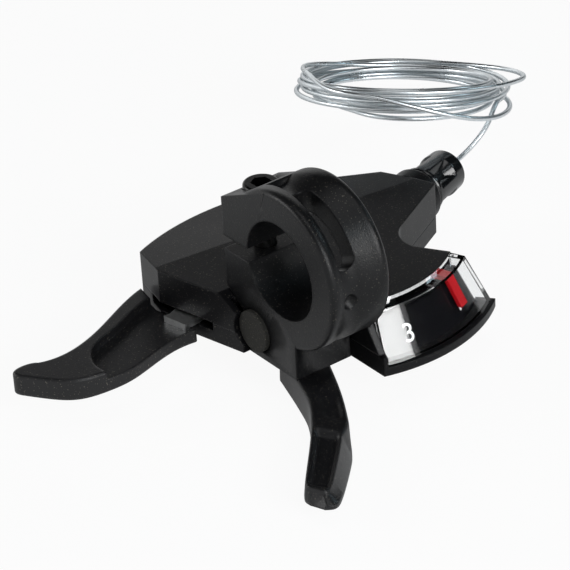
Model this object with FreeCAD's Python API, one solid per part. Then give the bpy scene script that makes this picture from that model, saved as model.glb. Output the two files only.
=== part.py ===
import FreeCAD, Part
import math
import os

# Left-hand three-speed trigger shifter for a bicycle handlebar.
# Millimetres. The origin is the centre of the clamp bore at half its width,
# +Y runs along the handlebar towards the stem, +X points at the rider, +Z is up.

V = FreeCAD.Vector
UP = V(0, 0, 1)
ALONG_BAR = V(0, 1, 0)

# Clearances
RUN_FIT = 0.05          # radial play of a part that turns on a pin
SEAT_GAP = 0.15         # play between fixed parts
MOVE_GAP = 0.35         # air between parts that pass each other

# Handlebar clamp
BAR_DIA = 22.2
CLAMP_WALL = 6.9
CLAMP_WIDTH = 15.4
CLAMP_ROUND = 1.3
SPLIT_GAP = 3.2
SPLIT_TOP = 0.7
EAR_REACH = 19.4
EAR_SHOULDER = 10.0
EAR_SLOPE = 24.0
JAW_DEPTH = 11.4
GROOVE_DEPTH = 2.9      # at its deepest, round the outside of the ring
GROOVE_FADE = 2.4       # by which the groove's own centre stands off the bar's
GROOVE_ANGLE = 42.0     # where it is deepest, from the rider's side upwards
GROOVE_END = 108.0
FRONT_FLANGE = 2.8
REAR_FLANGE = 1.6
SLOT_LEDGE = 0.7
SLOT_WIDTH = 5.2
SLOT_START = 26.0
SLOT_END = 84.0
PIT_ANGLE = -10.0
FOOT_LEFT = -12.3
FOOT_RIGHT = 4.0
FOOT_STEP = 0.8         # of the foot's rear face ahead of the ring's

# Clamp bolt and nut
BOLT_X = -15.3
BOLT_DIA = 5.0
BOLT_HEAD_DIA = 8.0
BOLT_HEAD_HEIGHT = 4.8
BOLT_SEAT = 7.5
BOLT_SOCKET = 4.0
NUT_SIZE = 8.0
NUT_HEIGHT = 4.0
NUT_TOP = -4.6

# Housing
TOP_Z = -12.2
PART_Z = -20.6
BOTTOM_Z = -25.0
COVER_WALL = 1.5
SIDE_SLOPE = 4.5
END_WALL = 37.0         # along the cable from the spool to the housing's end face
AXLE_X = -27.6
AXLE_Y = 14.0
FRONT_SLOPE = 0.237
FRONT_LEFT = V(-35.3, -14.8, 0)
CORNER_LEFT = V(-45.5, -12.4, 0)
SIDE_BULGE = V(-51.4, 15.0, 0)
SIDE_BACK = V(-43.4, 40.9, 0)
WAIST_RIGHT = V(-5.8, 32.7, 0)
WAIST_MIDDLE = V(-11.2, 33.3, 0)
WAIST_LEFT = V(-14.6, 36.6, 0)

# Gear window, turned about the pointer's pivot
WINDOW_X = -22.0
WINDOW_Y = 19.5
RIM_RADIUS = 39.2
LENS_LIP = 0.9          # of the rim outside the lens
LENS_LEAN_BACK = 5.6    # of the lens's front from its foot to its shoulder
LENS_STRIP = 3.3        # of the lens's top
LENS_FOOT_Z = -23.0
LENS_DROP = 0.5         # of the lens's shoulder below the housing's top
LENS_WALL = 1.2
LENS_MARGIN = 1.5       # angle of the wall between the clamp's notch and the lens
LENS_END = 36.2
LENS_CHEEK = 1.8
WING_END = 37.0
DIAL_SETBACK = 2.1
DIAL_THICK = 1.0
DIAL_GRIP = 2.0         # of the dial's flat strip behind the window
DIAL_DROP = 0.7         # of the dial's flat strip below the pointer
POINTER_ANGLE = 23.2
POINTER_WIDTH = 2.6
POINTER_THICK = 0.8
POINTER_DROP = 6.3
POINTER_Z = -14.9
TAIL_WIDTH = 4.6
SMALL_PIN_DIA = 2.0
GEAR_STEP = 28.5        # spool angle from one gear to the next

# Cable
WIRE_DIA = 1.2
CABLE_Z = -18.8
CABLE_ANGLE = 19.5      # from +Y towards -X
GROOVE_RADIUS = 9.5
HEAD_DIA = 4.0
HEAD_LENGTH = 4.2
PORT_DIA = 5.2

# Spool, ratchet and pawls
SPOOL_RADIUS = 11.2
SPOOL_THICK = 4.4
SPRING_WELL = 1.5
HUB_RADIUS = 4.5
RATCHET_BORE = 9.7
RATCHET_ROOT = 11.6
RATCHET_TIP = 13.2
RATCHET_THICK = 1.1
TOOTH_ANGLE = 8.5
TOOTH_LEAD = 8.0
PAWL_REACH = 17.0
PAWL_HUB = 2.6
PAWL_NOSE = 0.9
PAWL_LIFT = 0.45
PIN_DIA = 3.0
POST_PROUD = 0.25
HOLD_POST_ANGLE = 205.0
HOLD_NOSE_ANGLE = 230.0
WIND_POST_ANGLE = 38.0
WIND_NOSE_ANGLE = 62.0
THUMB_STROKE = 29.0

# Plates, axle and levers
BASE_THICK = 1.2
AXLE_DIA = 6.0
AXLE_HEAD_DIA = 13.0
AXLE_HEAD_HEIGHT = 1.5
CLIP_THICK = 0.6
CLIP_BITE = 0.5
CLIP_RIM = 1.3
PLATE_THICK = 1.4
THUMB_PLATE_TOP = -27.5
THUMB_TOP = -26.4
THUMB_BOTTOM = -33.2
FLANK_LEAN = 3.0        # of the thumb pad's outer wall towards its top
RELEASE_X = -30.0
RELEASE_Y = -3.0
RELEASE_HUB = 4.4
RELEASE_PLATE_TOP = -20.6
RELEASE_TOP = -20.3
RELEASE_DISH = -22.2
RELEASE_BOTTOM = -25.5
RELEASE_SINK = 0.8      # of the plate's tongue below the dished floor
LEVER_ROUND = 0.6
SLOT_LEFT = -39.5
SLOT_RIGHT = -20.6
SPRING_WIRE = 0.6

# Barrel adjuster
COLLAR_DIA = 13.0
COLLAR_LENGTH = 4.2
COLLAR_MARGIN = 0.7
BARREL_DIA = 5.0
BARREL_BORE = 2.0
BARREL_THREAD = 8.0
KNOB_DIA = 11.4
KNOB_LENGTH = 13.0
KNOB_SCOOP = 5.6
KNOB_GAP = 0.5
KNOB_CHAMFER = 0.9
SOCKET_DIA = 5.2
SOCKET_DEPTH = 5.0
FRICTION_DEPTH = 2.0
FRICTION_WIDTH = 1.2

# Cable port plug and screws
PLUG_DIA = 9.6
PLUG_PROUD = 1.0
PLUG_DEPTH = 3.0
SCREW_DIA = 2.2
SCREW_HEAD_DIA = 4.4
SCREW_GRIP = 4.5
BOSS_DIA = 5.6
COVER_SCREWS = [(-43.0, 29.0), (-19.6, 38.2), (-3.0, 12.3), (-19.0, -6.0)]
FOOT_SCREW_DIA = 3.0
FOOT_SCREW_HEAD = 5.6
FOOT_SCREW_LENGTH = 8.0
FOOT_SCREWS_X = (-7.6, -1.4)
FOOT_SCREWS_INSET = 5.4 # from the foot's rear face
TONGUE_REACH = 9.0

# Free cable: its coil, and the lead's points along, beside and above the adjuster's axis
COIL_CENTRE = V(-64.43, 77.98, -10.92)
COIL_RIGHT = V(0.608, 0.792, -0.052)
COIL_AWAY = V(-0.7716, 0.5744, -0.2743)
COIL_RADIUS = 22.4
COIL_HALF_WIDTH = 4.4
COIL_HALF_HEIGHT = 4.2
LEAD_ROUTE = [(4.0, 0.0, 0.0), (9.0, 1.2, 1.6), (14.5, 2.6, 5.0), (20.2, 1.6, 8.5)]

# Levels and places that follow from the sizes above
BAR_RADIUS = BAR_DIA / 2
CLAMP_RADIUS = BAR_RADIUS + CLAMP_WALL
CLAMP_FRONT = -CLAMP_WIDTH / 2
CLAMP_BACK = CLAMP_WIDTH / 2
CLAMP_CROWN = 0.22 * CLAMP_RADIUS
FOOT_BACK = CLAMP_BACK - FOOT_STEP
FOOT_SCREWS_Y = FOOT_BACK - FOOT_SCREWS_INSET
NOTCH_Y = FOOT_BACK + SEAT_GAP
AXLE = V(AXLE_X, AXLE_Y, 0)
WINDOW = V(WINDOW_X, WINDOW_Y, 0)
FLOOR_TOP = BOTTOM_Z + COVER_WALL
BASE_TOP = FLOOR_TOP + BASE_THICK
CEILING = TOP_Z - COVER_WALL
SPOOL_BOTTOM = CABLE_Z - SPOOL_THICK / 2
SPOOL_TOP = CABLE_Z + SPOOL_THICK / 2
RATCHET_TOP = SPOOL_TOP + RATCHET_THICK
POINTER_TOP = POINTER_Z + POINTER_THICK
DIAL_TOP = POINTER_Z - DIAL_DROP
LENS_TOP = TOP_Z - LENS_DROP
LENS_FOOT = RIM_RADIUS - LENS_LIP
LENS_SHOULDER = LENS_FOOT - LENS_LEAN_BACK
LENS_INNER = LENS_SHOULDER - LENS_STRIP
WING_START = math.degrees(math.asin((NOTCH_Y - WINDOW_Y) / RIM_RADIUS))
LENS_START = WING_START + LENS_MARGIN
LENS_LEAN = math.atan2(LENS_TOP - LENS_FOOT_Z, LENS_FOOT - LENS_SHOULDER)
CABLE_TURN = math.radians(CABLE_ANGLE)
CABLE_DIR = V(-math.sin(CABLE_TURN), math.cos(CABLE_TURN), 0)
CABLE_SIDE = V(math.cos(CABLE_TURN), math.sin(CABLE_TURN), 0)
CABLE_START = AXLE + CABLE_SIDE * GROOVE_RADIUS + UP * CABLE_Z
COLLAR_END = END_WALL + COLLAR_LENGTH
KNOB_START = COLLAR_END + KNOB_GAP
KNOB_END = KNOB_START + KNOB_LENGTH
CRANK = WINDOW - AXLE
CRANK_RADIUS = CRANK.Length
CRANK_ANGLE = math.degrees(math.atan2(-CRANK.y, -CRANK.x)) + GEAR_STEP
RELEASE_PIVOT = V(RELEASE_X, RELEASE_Y, 0)
TONGUE_X = (FOOT_SCREWS_X[0] + FOOT_SCREWS_X[1]) / 2
TONGUE_HALF = (FOOT_SCREWS_X[1] - FOOT_SCREWS_X[0]) / 2 + FOOT_SCREW_DIA
TONGUE_FRONT = FOOT_BACK - TONGUE_REACH


def polar(centre, radius, angle, z=0.0):
    turn = math.radians(angle)
    return V(centre.x + radius * math.cos(turn), centre.y + radius * math.sin(turn), z)


DRIVE_PIN = polar(AXLE, CRANK_RADIUS, CRANK_ANGLE)
HOLD_POST = polar(AXLE, PAWL_REACH, HOLD_POST_ANGLE)
WIND_POST = polar(AXLE, PAWL_REACH, WIND_POST_ANGLE)


def cable_point(along, aside=0.0, rise=0.0):
    return CABLE_START + CABLE_DIR * along + CABLE_SIDE * aside + UP * rise


def cable_rod(radius, start, end):
    return Part.makeCylinder(radius, end - start, cable_point(start), CABLE_DIR)


PLUG_PLACE = cable_point((CLAMP_FRONT - CABLE_START.y) / CABLE_DIR.y)


def extrude(wire, z0, z1):
    face = Part.Face(wire)
    face.translate(V(0, 0, z0 - wire.BoundBox.Center.z))
    return face.extrude(V(0, 0, z1 - z0))


def prism(points, z0, z1):
    corners = [V(p[0], p[1], z0) for p in points]
    return Part.Face(Part.makePolygon(corners + corners[:1])).extrude(V(0, 0, z1 - z0))


def front_prism(points, y0, y1):
    corners = [V(p[0], y0, p[1]) for p in points]
    return Part.Face(Part.makePolygon(corners + corners[:1])).extrude(V(0, y1 - y0, 0))


def post(centre, radius, z0, z1):
    return Part.makeCylinder(radius, z1 - z0, V(centre.x, centre.y, z0))


def ring(centre, outer, inner, z0, z1):
    return post(centre, outer, z0, z1).cut(post(centre, inner, z0 - 1, z1 + 1))


def turned(centre, profile, start, end):
    """Solid swept by a radius and height profile about a vertical line."""
    corners = [V(r, 0, z) for r, z in profile]
    face = Part.Face(Part.makePolygon(corners + corners[:1]))
    face.rotate(V(0, 0, 0), UP, start)
    face.translate(V(centre.x, centre.y, 0))
    return face.revolve(V(centre.x, centre.y, 0), UP, end - start)


def hexagon(centre, across, z0, z1):
    corner = across / math.sqrt(3)
    return prism([polar(centre, corner, 60 * i) for i in range(6)], z0, z1)


def bent_wire(edges, dia):
    path = Part.Wire(edges)
    first = path.OrderedEdges[0]
    start = path.OrderedVertexes[0].Point
    heading = first.tangentAt(first.FirstParameter)
    section = Part.Wire([Part.makeCircle(dia / 2, start, heading)])
    return path.makePipeShell([section], True, False)


def arc_edge(centre, radius, start, end, z):
    middle = polar(centre, radius, (start + end) / 2, z)
    return Part.Arc(polar(centre, radius, start, z), middle, polar(centre, radius, end, z)).toShape()


def smooth_edge(points, z):
    curve = Part.BSplineCurve()
    curve.interpolate([V(x, y, z) for x, y in points])
    return curve.toShape()


def rounded(body, radius, z):
    """Round the outline edges that lie at one height."""
    rim = []
    for edge in body.Edges:
        box = edge.BoundBox
        if abs(box.ZMin - z) < 1e-5 and abs(box.ZMax - z) < 1e-5:
            rim.append(edge)
    return body.makeFillet(radius, rim)


# Clamp bracket: the moulded ring with its split ears and the foot that carries the housing

def ear_block(grow, y0, y1):
    reach = EAR_REACH + grow
    crown_z = EAR_SHOULDER + (EAR_REACH - CLAMP_CROWN) * math.tan(math.radians(EAR_SLOPE)) + grow
    knee = -JAW_DEPTH - 4.2 - grow
    heel = -JAW_DEPTH - 5.8 - grow
    left = FOOT_LEFT - grow
    right = FOOT_RIGHT + grow
    points = [(-reach, EAR_SHOULDER + grow), (-reach, -JAW_DEPTH - grow), (left - 1.7, knee), (left, heel)]
    points += [(left, BOTTOM_Z), (right, BOTTOM_Z), (right, 0), (-CLAMP_CROWN, crown_z)]
    return front_prism(points, y0, y1)


def bracket_air(y0, y1):
    """Room that the covers leave for the bracket."""
    disc = Part.makeCylinder(CLAMP_RADIUS + SEAT_GAP, y1 - y0, V(0, y0, 0), ALONG_BAR)
    return ear_block(SEAT_GAP, y0, y1).fuse(disc)


def ring_sector(inner, outer, y0, y1, start, end):
    """Part of a tube round the bar, between two angles from +X towards +Z."""
    corners = [V(inner, y0, 0), V(outer, y0, 0), V(outer, y1, 0), V(inner, y1, 0)]
    face = Part.Face(Part.makePolygon(corners + corners[:1]))
    face.rotate(V(0, 0, 0), ALONG_BAR, -start)
    return face.revolve(V(0, 0, 0), ALONG_BAR, start - end)


def outward(angle):
    """Direction away from the bar at an angle from +X towards +Z."""
    turn = math.radians(angle)
    return V(math.cos(turn), 0, math.sin(turn))


def ring_groove():
    """Hollow round the outside of the ring, about a centre of its own so that it runs out at both ends."""
    crest = CLAMP_RADIUS + GROOVE_FADE
    floor = crest - GROOVE_DEPTH
    front = CLAMP_FRONT + FRONT_FLANGE
    rear = CLAMP_BACK - REAR_FLANGE
    slot = front + SLOT_LEDGE + SLOT_WIDTH
    rise = 2 * GROOVE_FADE
    near = [V(crest + rise, front, 0), V(crest, front, 0), V(floor + SLOT_LEDGE, front + SLOT_LEDGE, 0)]
    far = [V(floor + SLOT_LEDGE, slot, 0), V(crest - SLOT_LEDGE / 2, rear - SLOT_LEDGE, 0), V(crest, rear, 0)]
    far.append(V(crest + rise, rear, 0))
    edges = [Part.makeLine(a, b) for a, b in zip(near, near[1:])]
    edges += [Part.Arc(near[-1], V(floor, (front + slot) / 2, 0), far[0]).toShape()]
    edges += [Part.makeLine(a, b) for a, b in zip(far, far[1:])]
    edges.append(Part.makeLine(far[-1], near[0]))
    face = Part.Face(Part.Wire(edges))
    face.rotate(V(0, 0, 0), ALONG_BAR, -GROOVE_END)
    centre = outward(GROOVE_ANGLE) * -GROOVE_FADE
    face.translate(centre)
    return face.revolve(centre, ALONG_BAR, 2 * GROOVE_END)


def ring_hole(radius, angle, start):
    """Round hole into the ring from outside, in line with the slot."""
    middle = CLAMP_FRONT + FRONT_FLANGE + SLOT_LEDGE + SLOT_WIDTH / 2
    return Part.makeCylinder(radius, CLAMP_RADIUS, outward(angle) * start + V(0, middle, 0), outward(angle))


def ring_slot():
    """Long opening in the groove, round at both ends."""
    inner = BAR_RADIUS - 1
    half = SLOT_WIDTH / 2
    front = CLAMP_FRONT + FRONT_FLANGE + SLOT_LEDGE
    slot = ring_sector(inner, inner + CLAMP_RADIUS, front, front + SLOT_WIDTH, SLOT_START, SLOT_END)
    return slot.fuse(ring_hole(half, SLOT_START, inner)).fuse(ring_hole(half, SLOT_END, inner))


def port_hole():
    """Hole along the cable line through which a new cable is threaded."""
    return cable_rod(PORT_DIA / 2, -60, -SPOOL_RADIUS)


def plug_seat(depth):
    start = V(PLUG_PLACE.x, CLAMP_FRONT + PLUG_DEPTH - depth, PLUG_PLACE.z)
    return Part.makeCylinder(PLUG_DIA / 2 + SEAT_GAP, depth, start, ALONG_BAR)


def foot_screw(x):
    base = V(x, FOOT_SCREWS_Y, BOTTOM_Z)
    head = Part.makeCone(FOOT_SCREW_HEAD / 2, FOOT_SCREW_DIA / 2, FOOT_SCREW_HEAD / 4, base)
    return head.fuse(post(base, FOOT_SCREW_DIA / 2, BOTTOM_Z, BOTTOM_Z + FOOT_SCREW_LENGTH))


def clamp_bracket():
    hoop = Part.makeCylinder(CLAMP_RADIUS, CLAMP_WIDTH, V(0, CLAMP_FRONT, 0), ALONG_BAR)
    hoop = hoop.makeFillet(CLAMP_ROUND, [e for e in hoop.Edges if e.Closed])
    body = hoop.fuse(ear_block(0, CLAMP_FRONT, CLAMP_BACK))
    below = Part.makeBox(60, CLAMP_WIDTH, 40, V(-30, FOOT_BACK, -CLAMP_RADIUS - 40))
    body = body.cut(below)
    body = body.cut(Part.makeCylinder(BAR_RADIUS, 2 * CLAMP_WIDTH, V(0, -CLAMP_WIDTH, 0), ALONG_BAR))
    split = V(-EAR_REACH - BAR_RADIUS + 2, -CLAMP_WIDTH, SPLIT_TOP - SPLIT_GAP)
    body = body.cut(Part.makeBox(EAR_REACH, 2 * CLAMP_WIDTH, SPLIT_GAP, split))
    body = body.cut(ring_groove()).cut(ring_slot())
    body = body.cut(ring_hole(SLOT_WIDTH / 3, PIT_ANGLE, CLAMP_RADIUS - CLAMP_WALL / 2))
    bolt = V(BOLT_X, 0, 0)
    body = body.cut(post(bolt, BOLT_DIA / 2 + SEAT_GAP, -JAW_DEPTH, CLAMP_RADIUS))
    body = body.cut(post(bolt, BOLT_HEAD_DIA / 2 + SEAT_GAP, BOLT_SEAT, CLAMP_RADIUS))
    half = NUT_SIZE / 2 + SEAT_GAP
    height = NUT_HEIGHT + SEAT_GAP
    body = body.cut(Part.makeBox(2 * half, CLAMP_WIDTH, height, V(BOLT_X - half, -half, NUT_TOP - height)))
    body = body.cut(plug_seat(PLUG_DEPTH)).cut(port_hole())
    half = TONGUE_HALF + SEAT_GAP
    corner = V(TONGUE_X - half, TONGUE_FRONT - SEAT_GAP, FLOOR_TOP)
    body = body.cut(Part.makeBox(2 * half, 2 * TONGUE_REACH, BASE_THICK + SEAT_GAP, corner))
    for x in FOOT_SCREWS_X:
        body = body.cut(foot_screw(x))
    return body


def clamp_bolt():
    place = V(BOLT_X, 0, 0)
    top = BOLT_SEAT + BOLT_HEAD_HEIGHT
    head = rounded(post(place, BOLT_HEAD_DIA / 2, BOLT_SEAT, top), BOLT_HEAD_DIA / 12, top)
    shank = post(place, BOLT_DIA / 2, NUT_TOP - NUT_HEIGHT - 1, BOLT_SEAT)
    return head.fuse(shank).cut(hexagon(place, BOLT_SOCKET, BOLT_SEAT + BOLT_HEAD_HEIGHT / 3, top + 1))


def clamp_nut():
    half = NUT_SIZE / 2
    block = Part.makeBox(NUT_SIZE, NUT_SIZE, NUT_HEIGHT, V(BOLT_X - half, -half, NUT_TOP - NUT_HEIGHT))
    return block.cut(post(V(BOLT_X, 0, 0), BOLT_DIA / 2, NUT_TOP - NUT_HEIGHT - 1, NUT_TOP + 1))


def port_plug():
    start = V(PLUG_PLACE.x, CLAMP_FRONT - PLUG_PROUD, PLUG_PLACE.z)
    disc = Part.makeCylinder(PLUG_DIA / 2, PLUG_PROUD + PLUG_DEPTH, start, ALONG_BAR)
    return disc.makeFillet(PLUG_PROUD / 3, [e for e in disc.Edges if e.BoundBox.YMax < start.y + 0.01])


# Housing: an upper and a lower cover that share one outline and meet at the parting line

def front_wall(x):
    return FRONT_LEFT.y + FRONT_SLOPE * (x - FRONT_LEFT.x)


def cover_outline():
    """Plan outline shared by both covers, with the notch that takes the clamp's foot."""
    notch_x = FOOT_LEFT - SEAT_GAP
    wing = [polar(WINDOW, RIM_RADIUS, a) for a in (WING_START, (WING_START + WING_END) / 2, WING_END)]
    half = COLLAR_DIA / 2 + COLLAR_MARGIN
    end_right = cable_point(END_WALL, half, -CABLE_Z)
    end_left = cable_point(END_WALL, -half, -CABLE_Z)
    corners = [CORNER_LEFT, FRONT_LEFT, V(notch_x, front_wall(notch_x), 0), V(notch_x, NOTCH_Y, 0), wing[0]]
    edges = [Part.makeLine(a, b) for a, b in zip(corners, corners[1:])]
    edges += [Part.Arc(wing[0], wing[1], wing[2]).toShape()]
    corners = [wing[2], polar(WINDOW, LENS_INNER, WING_END), WAIST_RIGHT]
    edges += [Part.makeLine(a, b) for a, b in zip(corners, corners[1:])]
    edges += [Part.Arc(WAIST_RIGHT, WAIST_MIDDLE, WAIST_LEFT).toShape()]
    corners = [WAIST_LEFT, end_right, end_left, SIDE_BACK]
    edges += [Part.makeLine(a, b) for a, b in zip(corners, corners[1:])]
    edges += [Part.Arc(SIDE_BACK, SIDE_BULGE, CORNER_LEFT).toShape()]
    return Part.Wire(edges)


def side_slope(drop):
    """Air above the sloping left part of the top face, lowered by a drop."""
    reach = 40.0
    top = TOP_Z - drop
    low = top - reach * math.tan(math.radians(SIDE_SLOPE))
    wedge = front_prism([(0, top), (-reach, low), (-reach, top + reach), (0, top + reach)], -60, 90)
    wedge.rotate(V(0, 0, 0), UP, -6.5)
    wedge.translate(V(-35.0, 0, 0))
    return wedge


def window_air(z0):
    """Space over the angles where the lens stands."""
    inner = LENS_INNER
    far = 2 * RIM_RADIUS
    return turned(WINDOW, [(inner, z0), (far, z0), (far, 0), (inner, 0)], LENS_START, WING_END + 6)


def window_bevel():
    """Space outside the sloping front of the wall beside the lens."""
    far = 2 * RIM_RADIUS
    profile = [(LENS_SHOULDER, 0), (LENS_SHOULDER, LENS_TOP), (RIM_RADIUS, LENS_FOOT_Z), (far, LENS_FOOT_Z)]
    return turned(WINDOW, profile + [(far, 0)], LENS_START - 30, LENS_END + 10)


def dial_slot():
    """Groove in the cover's ends that takes the dial's flat strip."""
    inner = LENS_INNER - DIAL_GRIP - SEAT_GAP
    low = DIAL_TOP - DIAL_THICK - SEAT_GAP
    high = DIAL_TOP + SEAT_GAP
    play = math.degrees(SEAT_GAP / LENS_INNER)
    profile = [(inner, low), (LENS_SHOULDER, low), (LENS_SHOULDER, high), (inner, high)]
    return turned(WINDOW, profile, LENS_START, LENS_END - LENS_CHEEK + play)


def tail_room():
    """Sector under the roof that the pointer's tail sweeps."""
    toward = DRIVE_PIN - WINDOW
    rest = math.degrees(math.atan2(toward.y, toward.x))
    inner = CRANK_RADIUS
    outer = math.hypot(2 * CRANK_RADIUS + SMALL_PIN_DIA, TAIL_WIDTH / 2) + MOVE_GAP
    spread = math.degrees(math.atan2(TAIL_WIDTH, outer))
    low = POINTER_Z - MOVE_GAP
    high = POINTER_TOP + MOVE_GAP
    profile = [(inner, low), (outer, low), (outer, high), (inner, high)]
    return turned(WINDOW, profile, rest - GEAR_STEP - spread, rest + spread)


def lever_slot():
    """Gap in the front wall at the parting line, for the release lever's plate."""
    left = front_wall(SLOT_LEFT)
    right = front_wall(SLOT_RIGHT)
    points = [(SLOT_LEFT, left - 4), (SLOT_RIGHT, right - 4), (SLOT_RIGHT, right + 3), (SLOT_LEFT, left + 6)]
    return prism(points, RELEASE_PLATE_TOP - PLATE_THICK - MOVE_GAP, RELEASE_PLATE_TOP + MOVE_GAP)


def stroke_slot(z0, z1):
    """Curved slot that the winding pawl's post sweeps."""
    half = PIN_DIA / 2 + MOVE_GAP
    inner = PAWL_REACH - half
    outer = PAWL_REACH + half
    end = WIND_POST_ANGLE - THUMB_STROKE
    slot = turned(AXLE, [(inner, z0), (outer, z0), (outer, z1), (inner, z1)], end, WIND_POST_ANGLE)
    for angle in (end, WIND_POST_ANGLE):
        slot = slot.fuse(post(polar(AXLE, PAWL_REACH, angle), half, z0, z1))
    return slot


def adjuster_neck(grow):
    return cable_rod(COLLAR_DIA / 2 - COVER_WALL + grow, END_WALL - BARREL_THREAD - grow, END_WALL)


def upper_cover():
    outline = cover_outline()
    room = outline.makeOffset2D(-COVER_WALL, 2)
    shell = extrude(outline, PART_Z, TOP_Z).cut(side_slope(0))
    shell = shell.cut(extrude(room, PART_Z - 1, CEILING).cut(side_slope(COVER_WALL)))
    inside = extrude(outline, PART_Z, CEILING + COVER_WALL / 2).cut(side_slope(COVER_WALL / 2))
    for x, y in COVER_SCREWS:
        shell = shell.fuse(post(V(x, y, 0), BOSS_DIA / 2, PART_Z, TOP_Z).common(inside))
    collar = cable_rod(COLLAR_DIA / 2, END_WALL, COLLAR_END)
    far_rim = [e for e in collar.Edges if e.Closed and e.CenterOfMass.y > cable_point(END_WALL + 1).y]
    collar = collar.makeFillet(COLLAR_LENGTH / 5, far_rim)
    shell = shell.fuse(adjuster_neck(0).common(inside)).fuse(collar)
    shell = shell.cut(bracket_air(-60, CLAMP_BACK + SEAT_GAP))
    shell = shell.cut(window_bevel()).cut(window_air(PART_Z - 1))
    for x, y in COVER_SCREWS:
        shell = shell.cut(post(V(x, y, 0), SCREW_DIA / 2, PART_Z - 1, PART_Z + SCREW_GRIP))
    shell = shell.cut(cable_rod(BARREL_DIA / 2 + RUN_FIT, END_WALL - 2 * BARREL_THREAD, KNOB_END))
    shell = shell.cut(cable_rod(BARREL_DIA / 2 + FRICTION_WIDTH, COLLAR_END - FRICTION_DEPTH, KNOB_END))
    shell = shell.cut(lever_slot()).cut(port_hole()).cut(plug_seat(20))
    shell = shell.cut(tail_room()).cut(dial_slot())
    return shell.cut(post(WINDOW, SMALL_PIN_DIA / 2, POINTER_Z, CEILING + COVER_WALL / 2))


def lower_cover():
    outline = cover_outline()
    room = outline.makeOffset2D(-COVER_WALL, 2)
    tray = extrude(outline, BOTTOM_Z, PART_Z).cut(extrude(room, FLOOR_TOP, PART_Z + 1))
    for x, y in COVER_SCREWS:
        tray = tray.fuse(post(V(x, y, 0), BOSS_DIA / 2, FLOOR_TOP, PART_Z))
        tray = tray.cut(cover_screw(x, y))
    tray = tray.cut(window_air(LENS_FOOT_Z))
    tray = tray.cut(post(AXLE, AXLE_DIA / 2, BOTTOM_Z - 1, PART_Z))
    tray = tray.cut(stroke_slot(BOTTOM_Z - 1, PART_Z)).cut(lever_slot())
    tray = tray.cut(adjuster_neck(SEAT_GAP)).cut(port_hole()).cut(plug_seat(20))
    half = TONGUE_HALF + SEAT_GAP
    corner = V(TONGUE_X - half, FOOT_BACK - COVER_WALL, FLOOR_TOP)
    return tray.cut(Part.makeBox(2 * half, 3 * COVER_WALL, BASE_THICK + SEAT_GAP, corner))


def cover_screw(x, y):
    place = V(x, y, 0)
    head = post(place, SCREW_HEAD_DIA / 2, BOTTOM_Z, BOTTOM_Z + COVER_WALL)
    return head.fuse(post(place, SCREW_DIA / 2, BOTTOM_Z, PART_Z + SCREW_GRIP))


def cover_screws():
    screws = []
    for x, y in COVER_SCREWS:
        half = SCREW_HEAD_DIA / 3.6
        thin = SCREW_HEAD_DIA / 11
        points = [(x - thin, y - half), (x + thin, y - half), (x + thin, y + half), (x - thin, y + half)]
        slot = prism(points, BOTTOM_Z - 1, BOTTOM_Z + COVER_WALL / 2)
        cross = slot.copy()
        cross.rotate(V(x, y, 0), UP, 90)
        screws.append(cover_screw(x, y).cut(slot.fuse(cross)))
    return Part.makeCompound(screws)


# Pressed base plate, its posts and the main axle

def base_plate():
    back = FOOT_BACK + 2 * COVER_WALL + SEAT_GAP
    left = TONGUE_X - TONGUE_HALF
    right = TONGUE_X + TONGUE_HALF
    points = [(-40.0, -9.5), (-17.0, -4.0), (-15.5, back), (left, back), (left, TONGUE_FRONT)]
    points += [(right, TONGUE_FRONT), (right, back + 6), (-8.0, 28.0), (-15.0, 32.0), (-24.5, 43.0)]
    points += [(-37.0, 41.0), (-45.5, 16.0)]
    plate = prism(points, FLOOR_TOP, BASE_TOP)
    for x, y in COVER_SCREWS:
        plate = plate.cut(post(V(x, y, 0), BOSS_DIA / 2 + SEAT_GAP, FLOOR_TOP - 1, BASE_TOP + 1))
    for x in FOOT_SCREWS_X:
        plate = plate.cut(post(V(x, FOOT_SCREWS_Y, 0), FOOT_SCREW_DIA / 2, FLOOR_TOP - 1, BASE_TOP + 1))
    plate = plate.cut(post(AXLE, AXLE_DIA / 2, FLOOR_TOP - 1, BASE_TOP + 1))
    for place in (HOLD_POST, RELEASE_PIVOT):
        plate = plate.cut(post(place, PIN_DIA / 2, FLOOR_TOP - 1, BASE_TOP + 1))
    return plate.cut(stroke_slot(FLOOR_TOP - 1, BASE_TOP + 1))


def main_axle():
    head_top = THUMB_PLATE_TOP - PLATE_THICK - RUN_FIT
    clip_z = SPOOL_TOP + 2 * RUN_FIT
    head = post(AXLE, AXLE_HEAD_DIA / 2, head_top - AXLE_HEAD_HEIGHT, head_top)
    socket = hexagon(AXLE, 0.7 * AXLE_DIA, head_top - 2 * AXLE_HEAD_HEIGHT, head_top - AXLE_HEAD_HEIGHT / 3)
    shank = post(AXLE, AXLE_DIA / 2, head_top, clip_z + 2 * CLIP_THICK)
    groove = ring(AXLE, AXLE_DIA, AXLE_DIA / 2 - CLIP_BITE, clip_z, clip_z + CLIP_THICK)
    return head.fuse(shank).cut(socket).cut(groove)


def axle_clip():
    z0 = SPOOL_TOP + 2 * RUN_FIT
    clip = ring(AXLE, AXLE_DIA / 2 + CLIP_RIM, AXLE_DIA / 2 - CLIP_BITE, z0, z0 + CLIP_THICK)
    half = AXLE_DIA / 4
    x0 = AXLE.x - half
    x1 = AXLE.x + half
    return clip.cut(prism([(x0, AXLE.y), (x1, AXLE.y), (x1, AXLE.y + 9), (x0, AXLE.y + 9)], z0 - 1, z0 + 2))


def axle_spacer():
    return ring(AXLE, AXLE_HEAD_DIA / 2, AXLE_DIA / 2, THUMB_PLATE_TOP + RUN_FIT, BOTTOM_Z)


def hub_washer():
    return ring(AXLE, HUB_RADIUS, AXLE_DIA / 2, BASE_TOP, SPOOL_BOTTOM - RUN_FIT)


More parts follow.
